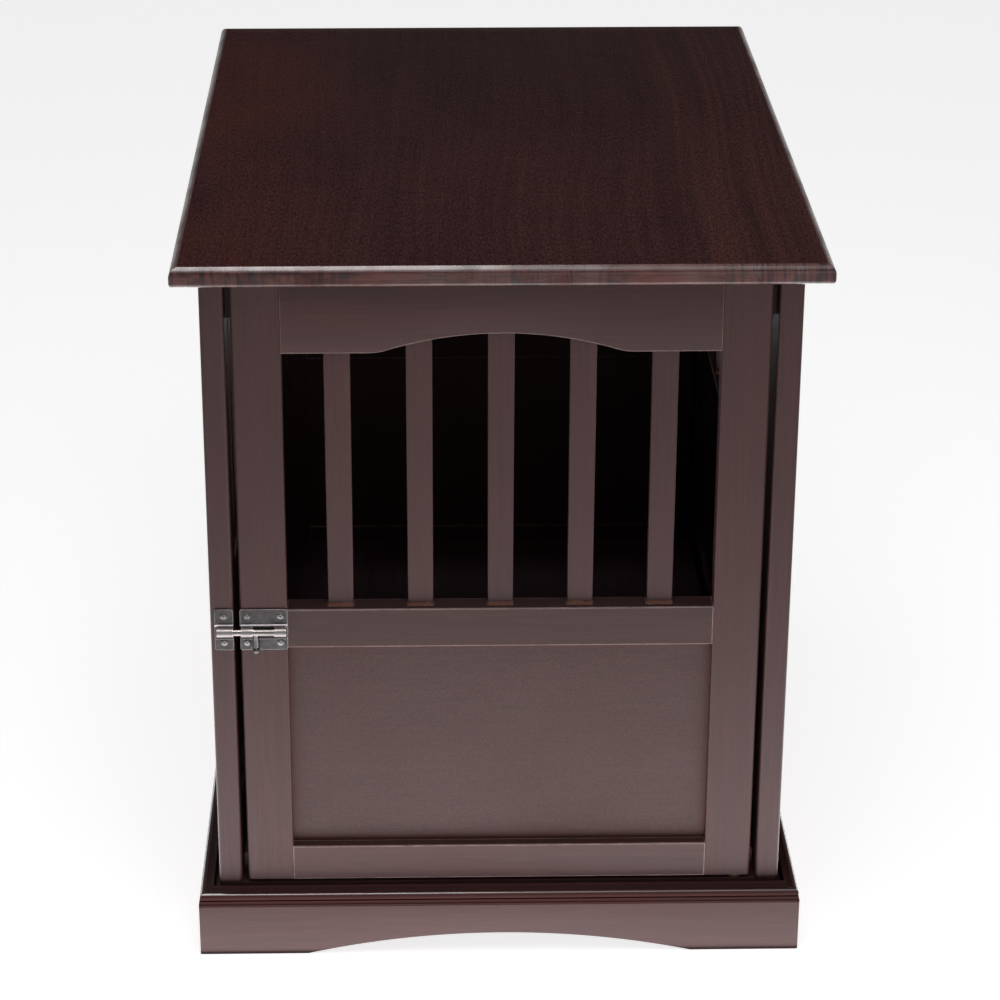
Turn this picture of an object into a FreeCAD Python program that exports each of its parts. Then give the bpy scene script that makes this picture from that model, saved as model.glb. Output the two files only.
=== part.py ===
"""Dog crate end table: a wooden crate on a moulded base, under a tabletop with a rounded edge.

Two long side frames, a back frame and a door all follow one pattern: stiles and rails round a window
of upright slats, under a rail whose lower edge is arched, with a plain panel in a groove below it.
The door is the front end. It turns on two upright pins near its right edge and is held shut by a
small barrel bolt on its left edge, whose rod runs into a keeper on the left front post.

Millimetres. X runs to the right, Y from front to back, Z up. The origin is on the floor under the
middle of the tabletop. The front, with the door, faces -Y.
"""

import FreeCAD
import Part

import math
import os

from FreeCAD import Vector

# ---------------------------------------------------------------- overall sizes
TABLE_WIDTH = 508.0  # tabletop, side to side
TABLE_LENGTH = 698.5  # tabletop, front to back
TABLE_HEIGHT = 610.0

# ---------------------------------------------------------------- tabletop
TOP_THICKNESS = 16.0
TOP_OVERHANG = 20.5  # beyond the posts, all round
LIPPING_WIDTH = 24.0  # solid edging round the veneered panel
LIPPING_UPPER_RADIUS = 7.0
LIPPING_LOWER_RADIUS = 4.5

# ---------------------------------------------------------------- stock that the frames are cut from
STOCK = 19.0  # thickness of posts, door and back frame
STILE_WIDTH = 38.0
SIDE_RAIL_THICKNESS = 12.0
SIDE_RAIL_SETBACK = 3.0  # side rails stand this far behind the posts' outer faces
PANEL_THICKNESS = 5.0
SLAT_WIDTH = 20.5
SLAT_THICKNESS = 9.0
OUTER_ARRIS_RADIUS = 3.0  # on the free corners of stiles and posts
INNER_ARRIS_RADIUS = 0.8  # on the edges that meet the rails
RAIL_ARRIS = 0.6  # small chamfer on the edges round the window and the panel
SLAT_ARRIS = 0.8  # the same on a slat's long edges

# ---------------------------------------------------------------- heights of the rails, common to all frames
BOTTOM_RAIL_WIDTH = 31.0
PANEL_HEIGHT = 185.0
MIDDLE_RAIL_WIDTH = 34.0
TOP_RAIL_WIDTH = 58.0  # at its ends, where the arch hasn't begun
DOOR_TOP_GAP = 3.0
DOOR_SIDE_GAP = 5.0
DOOR_BOTTOM_GAP = 3.0  # above the sill

# ---------------------------------------------------------------- arched lower edge of a top rail
ARCH_SHOULDER = 68.5  # straight length at each end
ARCH_RISE = 15.8
ARCH_BLEND_RADIUS = 45.0  # the hollow curve between the straight and the arch

# ---------------------------------------------------------------- slats
END_SLAT_GAP = 33.0  # from a stile to the first slat
END_FRAME_SLATS = 5
SIDE_FRAME_SLATS = 9
END_SLAT_RECESS = 6.0  # behind the face of the door's and the back's rails
SIDE_SLAT_RECESS = 1.5
END_PANEL_RECESS = 9.5
SIDE_PANEL_RECESS = 3.5

# ---------------------------------------------------------------- joints between wooden pieces
TENON_LENGTH = 14.0
TENON_THICKNESS = 6.0
TENON_SHOULDER = 5.0  # at each edge of a rail
MORTISE_END_GAP = 1.0
SLAT_TENON = 8.0
PANEL_TONGUE = 5.0  # how far a panel enters its grooves
GROOVE_END_GAP = 1.0

# ---------------------------------------------------------------- base
BASE_PROJECTION = 17.0  # beyond the posts, all round; also the boards' thickness
BASE_BOARD_HEIGHT = 46.0
BASE_ARCH_FOOT = 90.0  # flat length at each end of a board
BASE_ARCH_RISE = 18.5
MOULDING_DEPTH = 12.0
MOULDING_LIP = 1.6  # height of the lip along its foot
MOULDING_LEDGE = 0.9  # the band and the bead stand this far behind the lip
LEDGE_FALL = 0.3
MOULDING_BAND = 2.7  # height of the plain band under the bead
BEAD_RADIUS = 3.3
BEAD_START = 60.0  # degrees below level, where the bead springs from the band
COVE_RADIUS = 3.8
POST_FOOT_CLEARANCE = 3.0  # the posts stop short of the floor, so the boards carry the table
FIXED_RAIL_OVERLAP = 20.0  # how far the side and back frames reach down behind the boards

# ---------------------------------------------------------------- sill, floor and rails that tie the crate
SILL_DEPTH = 40.0
SILL_THICKNESS = 25.0
FLOOR_THICKNESS = 12.0
FLOOR_STEP = 5.0  # the floor's underside above the sill's front part
FLOOR_SIDE_GAP = 1.0
STOP_GAP = 1.0  # between the closed door and what stops it
FLOOR_CLEAT_WIDTH = 18.0
FLOOR_CLEAT_HEIGHT = 20.0
STRETCHER_HEIGHT = 38.0
TOP_CLEAT_WIDTH = 15.0
TOP_CLEAT_HEIGHT = 19.0
TOP_CLEAT_END_GAP = 6.0  # from the stretcher and from the rear posts

# ---------------------------------------------------------------- door pivots
PIVOT_INSET = 12.0  # pin centre from the door's right edge
PIN_RADIUS = 3.0
PIN_RUNNING_GAP = 0.05
PIN_IN_DOOR = 20.0
PIN_IN_BUSH = 9.0
BUSH_RADIUS = 4.6
BUSH_DEPTH = 10.0
BUSH_FLANGE_RADIUS = 7.0
BUSH_FLANGE_GAP = 0.3  # between a bush's flange and the door

# ---------------------------------------------------------------- barrel bolt
PLATE_THICKNESS = 1.2
PLATE_HEIGHT = 36.0
PLATE_CORNER_RADIUS = 1.5
KEEPER_WIDTH = 15.0
KEEPER_INSET = 0.5  # from the post's inner arris
RIDGE_RADIUS = 0.8
RIDGE_OFFSETS = (-6.6, 4.9)  # from the rod's axis
ROD_DROP = 1.0  # the rod's axis below the middle of the plate
ROD_RADIUS = 2.9
ROD_LENGTH = 54.0
ROD_END_CHAMFER = 0.6
ROD_SLIDING_GAP = 0.1
ROD_TO_PLATE = 0.3
LOOP_WALL = 0.9
LOOP_LENGTH = 9.2
KEEPER_LOOP_LENGTH = 13.0
LOOP_END_INSET = 1.0  # from the plate's end to its loop
KNOB_STEM_RADIUS = 2.1
KNOB_COLLAR_RADIUS = 2.6
KNOB_NECK_RADIUS = 1.5
KNOB_BALL_RADIUS = 2.8
KNOB_REACH = 19.0  # from the rod's axis to the knob's tip
KNOB_GAP = 0.3  # between a loop and the knob's stem, at each end of the travel
SCREW_HEAD_RADIUS = 2.9
SCREW_FACE_RADIUS = 1.7
SCREW_HEAD_HEIGHT = 1.2
SCREW_SHANK_RADIUS = 1.4
SCREW_SHANK_LENGTH = 9.0  # into the wood
SCREW_SPREAD = 23.4  # between the upper and the lower screws
SCREW_INSET = 5.6  # from the plate's end
TOP_SCREW_LENGTH = 29.0
TOP_SCREWS_PER_CLEAT = 2

# ---------------------------------------------------------------- levels and planes that follow
UNDER_TOP = TABLE_HEIGHT - TOP_THICKNESS
CARCASS_WIDTH = TABLE_WIDTH - 2 * TOP_OVERHANG
CARCASS_LENGTH = TABLE_LENGTH - 2 * TOP_OVERHANG
FRONT_FACE = -CARCASS_LENGTH / 2
INNER_HALF_WIDTH = CARCASS_WIDTH / 2 - STOCK
BASE_WIDTH = CARCASS_WIDTH + 2 * BASE_PROJECTION
BASE_LENGTH = CARCASS_LENGTH + 2 * BASE_PROJECTION
BAND_TOP = BASE_BOARD_HEIGHT + MOULDING_LIP + LEDGE_FALL + MOULDING_BAND
BEAD_CENTRE_DEPTH = MOULDING_LEDGE + BEAD_RADIUS
BEAD_CENTRE_HEIGHT = BAND_TOP + BEAD_RADIUS * math.sin(math.radians(BEAD_START))
MOULDING_TOP = BEAD_CENTRE_HEIGHT + BEAD_RADIUS * math.sin(math.radians(45)) + COVE_RADIUS
SILL_TOP = MOULDING_TOP
DOOR_BOTTOM = SILL_TOP + DOOR_BOTTOM_GAP
DOOR_TOP = UNDER_TOP - DOOR_TOP_GAP
DOOR_WIDTH = 2 * (INNER_HALF_WIDTH - DOOR_SIDE_GAP)
PANEL_BOTTOM = DOOR_BOTTOM + BOTTOM_RAIL_WIDTH
PANEL_TOP = PANEL_BOTTOM + PANEL_HEIGHT
WINDOW_BOTTOM = PANEL_TOP + MIDDLE_RAIL_WIDTH
WINDOW_TOP = DOOR_TOP - TOP_RAIL_WIDTH
FIXED_RAIL_FOOT = BASE_BOARD_HEIGHT - FIXED_RAIL_OVERLAP
FLOOR_UNDERSIDE = SILL_TOP + FLOOR_STEP
DOOR_BACK_FACE = FRONT_FACE + STOCK
SIDE_RAIL_INNER = CARCASS_WIDTH / 2 - SIDE_RAIL_SETBACK - SIDE_RAIL_THICKNESS
POST_LENGTH_INNER = CARCASS_LENGTH / 2 - STILE_WIDTH
STRETCHER_BACK = DOOR_BACK_FACE + STOP_GAP + STOCK
TOP_CLEAT_HALF_LENGTH = min(POST_LENGTH_INNER, -STRETCHER_BACK) - TOP_CLEAT_END_GAP


# ---------------------------------------------------------------- small helpers
def block(x_range, y_range, z_range):
    """A box from its lowest to its highest corner."""
    (x0, x1), (y0, y1), (z0, z1) = x_range, y_range, z_range
    return Part.makeBox(x1 - x0, y1 - y0, z1 - z0, Vector(x0, y0, z0))


def turned(shape, degrees):
    """The shape turned about the upright axis through the origin."""
    copy = shape.copy()
    copy.rotate(Vector(0, 0, 0), Vector(0, 0, 1), degrees)
    return copy


def moved(shape, x=0.0, y=0.0, z=0.0):
    copy = shape.copy()
    copy.translate(Vector(x, y, z))
    return copy


def upright_edges(shape, wanted):
    """The straight upright edges of a shape whose middle passes the test wanted(x, y)."""
    found = []
    for edge in shape.Edges:
        low, high = edge.BoundBox.getPoint(0), edge.BoundBox.getPoint(6)
        if edge.BoundBox.ZLength > 1.0 and edge.BoundBox.XLength + edge.BoundBox.YLength < 1e-6:
            if wanted((low.x + high.x) / 2, (low.y + high.y) / 2):
                found.append(edge)
    return found


def extruded(points_and_arcs, direction):
    """A closed outline of Part edges, swept along a straight direction."""
    face = Part.Face(Part.Wire(points_and_arcs))
    return face.extrude(direction)


def line(start, end):
    return Part.LineSegment(start, end).toShape()


def arc(start, middle, end):
    return Part.Arc(start, middle, end).toShape()


# ---------------------------------------------------------------- the frame pattern
class FramePattern:
    """One framed end or side, built with its outer face on y = 0, its inside at +y, centred on x = 0."""

    def __init__(self, length, foot, stile_foot, head, setback, rail_thickness,
                 slat_recess, panel_recess, slat_count):
        self.length = length
        self.foot = foot
        self.stile_foot = stile_foot
        self.head = head
        self.setback = setback
        self.rail_thickness = rail_thickness
        self.slat_face = setback + slat_recess
        self.panel_face = setback + panel_recess
        self.slat_count = slat_count
        self.half_opening = length / 2 - STILE_WIDTH
        self.tenon_face = setback + (rail_thickness - TENON_THICKNESS) / 2
        self.arch_half_span = self.half_opening - ARCH_SHOULDER
        self.arch_radius = (
            (self.arch_half_span**2 + ARCH_RISE**2) / (2 * ARCH_RISE) - ARCH_BLEND_RADIUS
        )

    def arch_height(self, x):
        """Height of the top rail's lower edge at x, above its straight ends."""
        crown_centre = ARCH_RISE - self.arch_radius
        share = self.arch_radius / (self.arch_radius + ARCH_BLEND_RADIUS)
        if abs(x) <= self.arch_half_span * share:
            return crown_centre + math.sqrt(self.arch_radius**2 - x * x)
        if abs(x) < self.arch_half_span:
            reach = self.arch_half_span - abs(x)
            return ARCH_BLEND_RADIUS - math.sqrt(ARCH_BLEND_RADIUS**2 - reach**2)
        return 0.0

    def slat_places(self):
        """The middle of each slat along the frame."""
        first = -self.half_opening + END_SLAT_GAP + SLAT_WIDTH / 2
        pitch = -2 * first / (self.slat_count - 1)
        return [first + number * pitch for number in range(self.slat_count)]

    def slat_pockets(self):
        """What each slat takes up, from its pocket in the middle rail to the one in the arched rail."""
        half = SLAT_WIDTH / 2
        pockets = []
        for place in self.slat_places():
            top = WINDOW_TOP + max(self.arch_height(place - half), self.arch_height(place + half))
            pockets.append(block(
                (place - half, place + half),
                (self.slat_face, self.slat_face + SLAT_THICKNESS),
                (WINDOW_BOTTOM - SLAT_TENON, top + SLAT_TENON),
            ))
        return pockets

    def slats(self):
        return [
            pocket.makeChamfer(SLAT_ARRIS, upright_edges(pocket, lambda x, y: True))
            for pocket in self.slat_pockets()
        ]

    def tenons(self, low, high):
        """The two tenons of a rail that lies between the heights low and high."""
        span = (low + TENON_SHOULDER, high - TENON_SHOULDER)
        depth = (self.tenon_face, self.tenon_face + TENON_THICKNESS)
        end = self.half_opening
        return [
            block((-end - TENON_LENGTH, -end), depth, span),
            block((end, end + TENON_LENGTH), depth, span),
        ]

    def mortise(self, side, low, high):
        """The pocket in a stile for one tenon. side is -1 or 1."""
        deep = TENON_LENGTH + MORTISE_END_GAP
        ends = sorted((side * self.half_opening, side * (self.half_opening + deep)))
        return block(
            ends,
            (self.tenon_face, self.tenon_face + TENON_THICKNESS),
            (low + TENON_SHOULDER, high - TENON_SHOULDER),
        )

    def panel(self):
        half = self.half_opening + PANEL_TONGUE
        return block(
            (-half, half),
            (self.panel_face, self.panel_face + PANEL_THICKNESS),
            (PANEL_BOTTOM - PANEL_TONGUE, PANEL_TOP + PANEL_TONGUE),
        )

    def panel_groove(self):
        """The space that the panel's grooves take up, cut from stiles and rails alike."""
        deep = PANEL_TONGUE + GROOVE_END_GAP
        half = self.half_opening + deep
        return block(
            (-half, half),
            (self.panel_face, self.panel_face + PANEL_THICKNESS),
            (PANEL_BOTTOM - deep, PANEL_TOP + deep),
        )

    def rails_at(self):
        return {
            "bottom": (self.foot, PANEL_BOTTOM),
            "middle": (PANEL_TOP, WINDOW_BOTTOM),
            "top": (WINDOW_TOP, self.head),
        }

    def stile(self, side):
        """An upright member with its eased arrises, mortises and panel groove. side is -1 or 1."""
        ends = sorted((side * self.half_opening, side * self.length / 2))
        body = block(ends, (0, STOCK), (self.stile_foot, self.head))
        outer = upright_edges(body, lambda x, y: abs(x) > self.length / 2 - 1)
        inner = upright_edges(body, lambda x, y: abs(x) < self.half_opening + 1)
        body = body.makeFillet(OUTER_ARRIS_RADIUS, outer)
        inner = upright_edges(body, lambda x, y: abs(x) < self.half_opening + 1)
        body = body.makeFillet(INNER_ARRIS_RADIUS, inner)
        for low, high in self.rails_at().values():
            body = body.cut(self.mortise(side, low, high))
        return body.cut(self.panel_groove())

    def plain_rail(self, name):
        """The bottom or the middle rail, with eased arrises along the opening."""
        low, high = self.rails_at()[name]
        depth = (self.setback, self.setback + self.rail_thickness)
        body = block((-self.half_opening, self.half_opening), depth, (low, high))
        eased = [
            edge
            for edge in body.Edges
            if edge.BoundBox.XLength > 1 and (edge.BoundBox.ZMax > low + 1 or name == "middle")
        ]
        body = body.makeChamfer(RAIL_ARRIS, eased)
        return self.joined(body, low, high)

    def top_rail(self):
        """The arched rail: straight ends, a hollow blend, then the crown, drawn with true arcs."""
        low, high = self.rails_at()["top"]
        half, span = self.half_opening, self.arch_half_span
        share = self.arch_radius / (self.arch_radius + ARCH_BLEND_RADIUS)
        tangent = span * share
        mid_blend = (tangent + span) / 2
        y = self.setback

        def at(x, rise):
            return Vector(x, y, low + rise)

        outline = [
            line(at(-half, 0), at(-span, 0)),
            arc(at(-span, 0), at(-mid_blend, self.arch_height(mid_blend)),
                at(-tangent, self.arch_height(tangent))),
            arc(at(-tangent, self.arch_height(tangent)), at(0, ARCH_RISE),
                at(tangent, self.arch_height(tangent))),
            arc(at(tangent, self.arch_height(tangent)),
                at(mid_blend, self.arch_height(mid_blend)), at(span, 0)),
            line(at(span, 0), at(half, 0)),
            line(at(half, 0), at(half, high - low)),
            line(at(half, high - low), at(-half, high - low)),
            line(at(-half, high - low), at(-half, 0)),
        ]
        body = extruded(outline, Vector(0, self.rail_thickness, 0))
        eased = [
            edge
            for edge in body.Edges
            if edge.BoundBox.YLength < 1e-6
            and edge.BoundBox.XLength > 1
            and edge.BoundBox.ZMax < low + ARCH_RISE + 1
        ]
        body = body.makeChamfer(RAIL_ARRIS, eased)
        return self.joined(body, low, high)

    def joined(self, body, low, high):
        """A rail with its tenons, less the panel groove and the pockets for the slats."""
        for tenon in self.tenons(low, high):
            body = body.fuse(tenon)
        body = body.removeSplitter().cut(self.panel_groove())
        for pocket in self.slat_pockets():
            body = body.cut(pocket)
        return body

    def pieces(self):
        """Every piece of the frame. stile_a is the one at -x, stile_b the one at +x."""
        return {
            "stile_a": self.stile(-1),
            "stile_b": self.stile(1),
            "top_rail": self.top_rail(),
            "middle_rail": self.plain_rail("middle"),
            "bottom_rail": self.plain_rail("bottom"),
            "panel": self.panel(),
            "slats": self.slats(),
        }


# ---------------------------------------------------------------- mitred rings: edging, boards, moulding
def mitred_bars(width, length, depth, outline):
    """Four bars of one section round a rectangle, mitred at its corners.

    outline(y) gives the section's edges for a bar whose outer face is on the plane y, going inwards
    to y + depth. The bars are named by the side that they lie on.
    """
    bars = {}
    for name, angle, run, across in (
        ("front", 0, width, length),
        ("right", 90, length, width),
        ("back", 180, width, length),
        ("left", 270, length, width),
    ):
        outer = -across / 2
        bar = moved(extruded(outline(outer), Vector(run, 0, 0)), x=-run / 2)
        corners = [
            Vector(-run / 2, outer, 0),
            Vector(run / 2, outer, 0),
            Vector(run / 2 - depth, outer + depth, 0),
            Vector(-run / 2 + depth, outer + depth, 0),
        ]
        plan = Part.Face(Part.makePolygon(corners + corners[:1]))
        bars[name] = turned(bar.common(plan.extrude(Vector(0, 0, TABLE_HEIGHT))), angle)
    return bars


def lipping_outline(outer):
    """Section of the tabletop's edging: a large round above, a smaller one below."""
    inner = outer + LIPPING_WIDTH
    upper, lower = LIPPING_UPPER_RADIUS, LIPPING_LOWER_RADIUS
    bend = 1 - math.sin(math.radians(45))

    def at(y, z):
        return Vector(0, y, z)

    return [
        line(at(inner, UNDER_TOP), at(outer + lower, UNDER_TOP)),
        arc(at(outer + lower, UNDER_TOP), at(outer + lower * bend, UNDER_TOP + lower * bend),
            at(outer, UNDER_TOP + lower)),
        line(at(outer, UNDER_TOP + lower), at(outer, TABLE_HEIGHT - upper)),
        arc(at(outer, TABLE_HEIGHT - upper), at(outer + upper * bend, TABLE_HEIGHT - upper * bend),
            at(outer + upper, TABLE_HEIGHT)),
        line(at(outer + upper, TABLE_HEIGHT), at(inner, TABLE_HEIGHT)),
        line(at(inner, TABLE_HEIGHT), at(inner, UNDER_TOP)),
    ]


def moulding_outline(outer):
    """Section of the base moulding: a lip, a ledge, a band, a bead, a cove and a flat top."""
    root = math.sin(math.radians(45))
    lip_top = BASE_BOARD_HEIGHT + MOULDING_LIP
    band = outer + MOULDING_LEDGE
    bead_y, bead_z = outer + BEAD_CENTRE_DEPTH, BEAD_CENTRE_HEIGHT
    cove_y = bead_y + BEAD_RADIUS * root
    cove_z = MOULDING_TOP
    back = outer + MOULDING_DEPTH

    def at(y, z):
        return Vector(0, y, z)

    bead_start = at(bead_y - BEAD_RADIUS * math.cos(math.radians(BEAD_START)), BAND_TOP)
    bead_end = at(bead_y + BEAD_RADIUS * root, bead_z + BEAD_RADIUS * root)
    cove_end = at(cove_y + COVE_RADIUS, cove_z)
    return [
        line(at(back, BASE_BOARD_HEIGHT), at(outer, BASE_BOARD_HEIGHT)),
        line(at(outer, BASE_BOARD_HEIGHT), at(outer, lip_top)),
        line(at(outer, lip_top), at(band, lip_top + LEDGE_FALL)),
        line(at(band, lip_top + LEDGE_FALL), at(band, BAND_TOP)),
        line(at(band, BAND_TOP), bead_start),
        arc(bead_start, at(bead_y - BEAD_RADIUS * root, bead_z + BEAD_RADIUS * root), bead_end),
        arc(bead_end, at(cove_y + COVE_RADIUS * root, cove_z - COVE_RADIUS * root), cove_end),
        line(cove_end, at(back, MOULDING_TOP)),
        line(at(back, MOULDING_TOP), at(back, BASE_BOARD_HEIGHT)),
    ]


def board_outline(outer):
    """Section of a base board: a plain rectangle."""
    inner = outer + BASE_PROJECTION

    def at(y, z):
        return Vector(0, y, z)

    corners = [at(outer, 0), at(outer, BASE_BOARD_HEIGHT), at(inner, BASE_BOARD_HEIGHT), at(inner, 0)]
    return [line(a, b) for a, b in zip(corners, corners[1:] + corners[:1])]


def base_arch(run, across):
    """The shallow arch cut from the foot of a board of that length."""
    half = run / 2 - BASE_ARCH_FOOT
    y = -across / 2 - 1
    ends = Vector(-half, y, 0), Vector(half, y, 0)
    outline = [arc(ends[0], Vector(0, y, BASE_ARCH_RISE), ends[1]), line(ends[1], ends[0])]
    return extruded(outline, Vector(0, BASE_PROJECTION + 2, 0))


def base():
    """Four mitred boards with arched feet, and the moulding glued on them."""
    boards = mitred_bars(BASE_WIDTH, BASE_LENGTH, BASE_PROJECTION, board_outline)
    mouldings = mitred_bars(BASE_WIDTH, BASE_LENGTH, MOULDING_DEPTH, moulding_outline)
    end_arch = base_arch(BASE_WIDTH, BASE_LENGTH)
    side_arch = base_arch(BASE_LENGTH, BASE_WIDTH)
    arches = {
        "front": end_arch,
        "right": turned(side_arch, 90),
        "back": turned(end_arch, 180),
        "left": turned(side_arch, 270),
    }
    made = {}
    for side in boards:
        made["base_board_" + side] = boards[side].cut(arches[side])
        made["base_moulding_" + side] = mouldings[side]
    return made


# ---------------------------------------------------------------- tabletop
def tabletop():
    """The veneered panel, with blind holes for the upper bush and the cleat screws, and its edging."""
    half_x = TABLE_WIDTH / 2 - LIPPING_WIDTH
    half_y = TABLE_LENGTH / 2 - LIPPING_WIDTH
    panel = block((-half_x, half_x), (-half_y, half_y), (UNDER_TOP, TABLE_HEIGHT))
    panel = panel.cut(bush_seats()[1])
    for screw in top_screws():
        panel = panel.cut(screw)
    made = {"top_panel": panel}
    for side, bar in mitred_bars(TABLE_WIDTH, TABLE_LENGTH, LIPPING_WIDTH, lipping_outline).items():
        made["top_lipping_" + side] = bar
    return made


def top_cleats():
    """Two battens inside the side top rails, through which the top is screwed down."""
    half = TOP_CLEAT_HALF_LENGTH
    cleats = []
    for side in (-1, 1):
        ends = sorted((side * SIDE_RAIL_INNER, side * (SIDE_RAIL_INNER - TOP_CLEAT_WIDTH)))
        cleat = block(ends, (-half, half), (UNDER_TOP - TOP_CLEAT_HEIGHT, UNDER_TOP))
        for screw in top_screws():
            cleat = cleat.cut(screw)
        cleats.append(cleat)
    return cleats


def top_screws():
    """Countersunk screws, up through the cleats and into the tabletop."""
    half = TOP_CLEAT_HALF_LENGTH
    pitch = 2 * half / TOP_SCREWS_PER_CLEAT
    foot = UNDER_TOP - TOP_CLEAT_HEIGHT
    screws = []
    for side in (-1, 1):
        x = side * (SIDE_RAIL_INNER - TOP_CLEAT_WIDTH / 2)
        for number in range(TOP_SCREWS_PER_CLEAT):
            y = -half + (number + 0.5) * pitch
            head = Part.makeCone(
                SCREW_HEAD_RADIUS, SCREW_SHANK_RADIUS, 2 * SCREW_HEAD_HEIGHT, Vector(x, y, foot)
            )
            shank = Part.makeCylinder(SCREW_SHANK_RADIUS, TOP_SCREW_LENGTH, Vector(x, y, foot))
            screws.append(head.fuse(shank).removeSplitter())
    return screws


# ---------------------------------------------------------------- side frames and back frame
def side_frames():
    pattern = FramePattern(
        length=CARCASS_LENGTH,
        foot=FIXED_RAIL_FOOT,
        stile_foot=POST_FOOT_CLEARANCE,
        head=UNDER_TOP,
        setback=SIDE_RAIL_SETBACK,
        rail_thickness=SIDE_RAIL_THICKNESS,
        slat_recess=SIDE_SLAT_RECESS,
        panel_recess=SIDE_PANEL_RECESS,
        slat_count=SIDE_FRAME_SLATS,
    )
    pieces = pattern.pieces()
    made = {}
    for side, angle, front, rear in (
        ("left", 270, "stile_b", "stile_a"),
        ("right", 90, "stile_a", "stile_b"),
    ):
        def placed(shape, angle=angle):
            return turned(moved(shape, y=-CARCASS_WIDTH / 2), angle)

        made[side + "_front_post"] = placed(pieces[front])
        made[side + "_rear_post"] = placed(pieces[rear])
        for name in ("top_rail", "middle_rail", "bottom_rail", "panel"):
            made[side + "_" + name] = placed(pieces[name])
        made[side + "_slats"] = [placed(slat) for slat in pieces["slats"]]
    keeper_holes = screw_places_on_keeper()
    made["left_front_post"] = drilled(made["left_front_post"], keeper_holes)
    return made


def back_frame():
    pattern = FramePattern(
        length=2 * INNER_HALF_WIDTH,
        foot=FIXED_RAIL_FOOT,
        stile_foot=FIXED_RAIL_FOOT,
        head=UNDER_TOP,
        setback=0.0,
        rail_thickness=STOCK,
        slat_recess=END_SLAT_RECESS,
        panel_recess=END_PANEL_RECESS,
        slat_count=END_FRAME_SLATS,
    )

    def placed(shape):
        return turned(moved(shape, y=FRONT_FACE), 180)

    pieces = pattern.pieces()
    made = {
        "back_left_stile": placed(pieces["stile_b"]),
        "back_right_stile": placed(pieces["stile_a"]),
        "back_slats": [placed(slat) for slat in pieces["slats"]],
    }
    for name in ("top_rail", "middle_rail", "bottom_rail", "panel"):
        made["back_" + name] = placed(pieces[name])
    return made


# ---------------------------------------------------------------- the door
def door():
    pattern = FramePattern(
        length=DOOR_WIDTH,
        foot=DOOR_BOTTOM,
        stile_foot=DOOR_BOTTOM,
        head=DOOR_TOP,
        setback=0.0,
        rail_thickness=STOCK,
        slat_recess=END_SLAT_RECESS,
        panel_recess=END_PANEL_RECESS,
        slat_count=END_FRAME_SLATS,
    )
    pieces = pattern.pieces()
    made = {
        "door_latch_stile": moved(pieces["stile_a"], y=FRONT_FACE),
        "door_pivot_stile": moved(pieces["stile_b"], y=FRONT_FACE),
    }
    for name in ("top_rail", "middle_rail", "bottom_rail", "panel"):
        made["door_" + name] = moved(pieces[name], y=FRONT_FACE)
    for number, slat in enumerate(pieces["slats"], start=1):
        made["door_slat_%d" % number] = moved(slat, y=FRONT_FACE)
    for pin in pivot_pins().values():
        made["door_pivot_stile"] = made["door_pivot_stile"].cut(pin)
    for name in ("latch_stile", "middle_rail"):
        made["door_" + name] = drilled(made["door_" + name], screw_places_on_plate())
    return made


# ---------------------------------------------------------------- pivots
PIVOT_X = DOOR_WIDTH / 2 - PIVOT_INSET
PIVOT_Y = FRONT_FACE + STOCK / 2


def pivot_pins():
    """The door's two pins. Each is driven into the door and turns in a bush."""
    lower = Part.makeCylinder(
        PIN_RADIUS,
        PIN_IN_DOOR + DOOR_BOTTOM_GAP + PIN_IN_BUSH,
        Vector(PIVOT_X, PIVOT_Y, SILL_TOP - PIN_IN_BUSH),
    )
    upper = Part.makeCylinder(
        PIN_RADIUS,
        PIN_IN_DOOR + DOOR_TOP_GAP + PIN_IN_BUSH,
        Vector(PIVOT_X, PIVOT_Y, DOOR_TOP - PIN_IN_DOOR),
    )
    return {"lower_pivot_pin": lower, "upper_pivot_pin": upper}


def swing_space():
    """The round space that the door's inner corner sweeps as it turns, cut from what lies behind it."""
    sweep = math.hypot(PIVOT_INSET, STOCK / 2) + STOP_GAP
    return Part.makeCylinder(sweep, UNDER_TOP - SILL_TOP, Vector(PIVOT_X, PIVOT_Y, SILL_TOP))


def bush_seats():
    """The blind holes that the bushes are pressed into: in the sill, and under the tabletop."""
    return [
        Part.makeCylinder(BUSH_RADIUS, BUSH_DEPTH, Vector(PIVOT_X, PIVOT_Y, SILL_TOP - BUSH_DEPTH)),
        Part.makeCylinder(BUSH_RADIUS, BUSH_DEPTH, Vector(PIVOT_X, PIVOT_Y, UNDER_TOP)),
    ]


def pivot_bushes():
    """Two flanged bushes. The lower one's flange is the washer that carries the door."""
    made = []
    for seat, foot, gap in (
        (bush_seats()[0], SILL_TOP, DOOR_BOTTOM_GAP - BUSH_FLANGE_GAP),
        (bush_seats()[1], UNDER_TOP - DOOR_TOP_GAP + BUSH_FLANGE_GAP, DOOR_TOP_GAP - BUSH_FLANGE_GAP),
    ):
        flange = Part.makeCylinder(BUSH_FLANGE_RADIUS, gap, Vector(PIVOT_X, PIVOT_Y, foot))
        bore = Part.makeCylinder(
            PIN_RADIUS + PIN_RUNNING_GAP,
            TABLE_HEIGHT,
            Vector(PIVOT_X, PIVOT_Y, 0),
        )
        made.append(seat.fuse(flange).removeSplitter().cut(bore))
    return made


# ---------------------------------------------------------------- sill, floor, stretcher
def front_sill():
    """The rebated rail under the door. The door passes over its front part, the floor rests on its back."""
    across = (-INNER_HALF_WIDTH, INNER_HALF_WIDTH)
    foot = SILL_TOP - SILL_THICKNESS
    front = block(across, (FRONT_FACE, FRONT_FACE + SILL_DEPTH), (foot, SILL_TOP))
    step_start = DOOR_BACK_FACE + STOP_GAP
    back = block(across, (step_start, FRONT_FACE + SILL_DEPTH), (foot, FLOOR_UNDERSIDE))
    return front.fuse(back).removeSplitter().cut(bush_seats()[0]).cut(swing_space())


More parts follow.
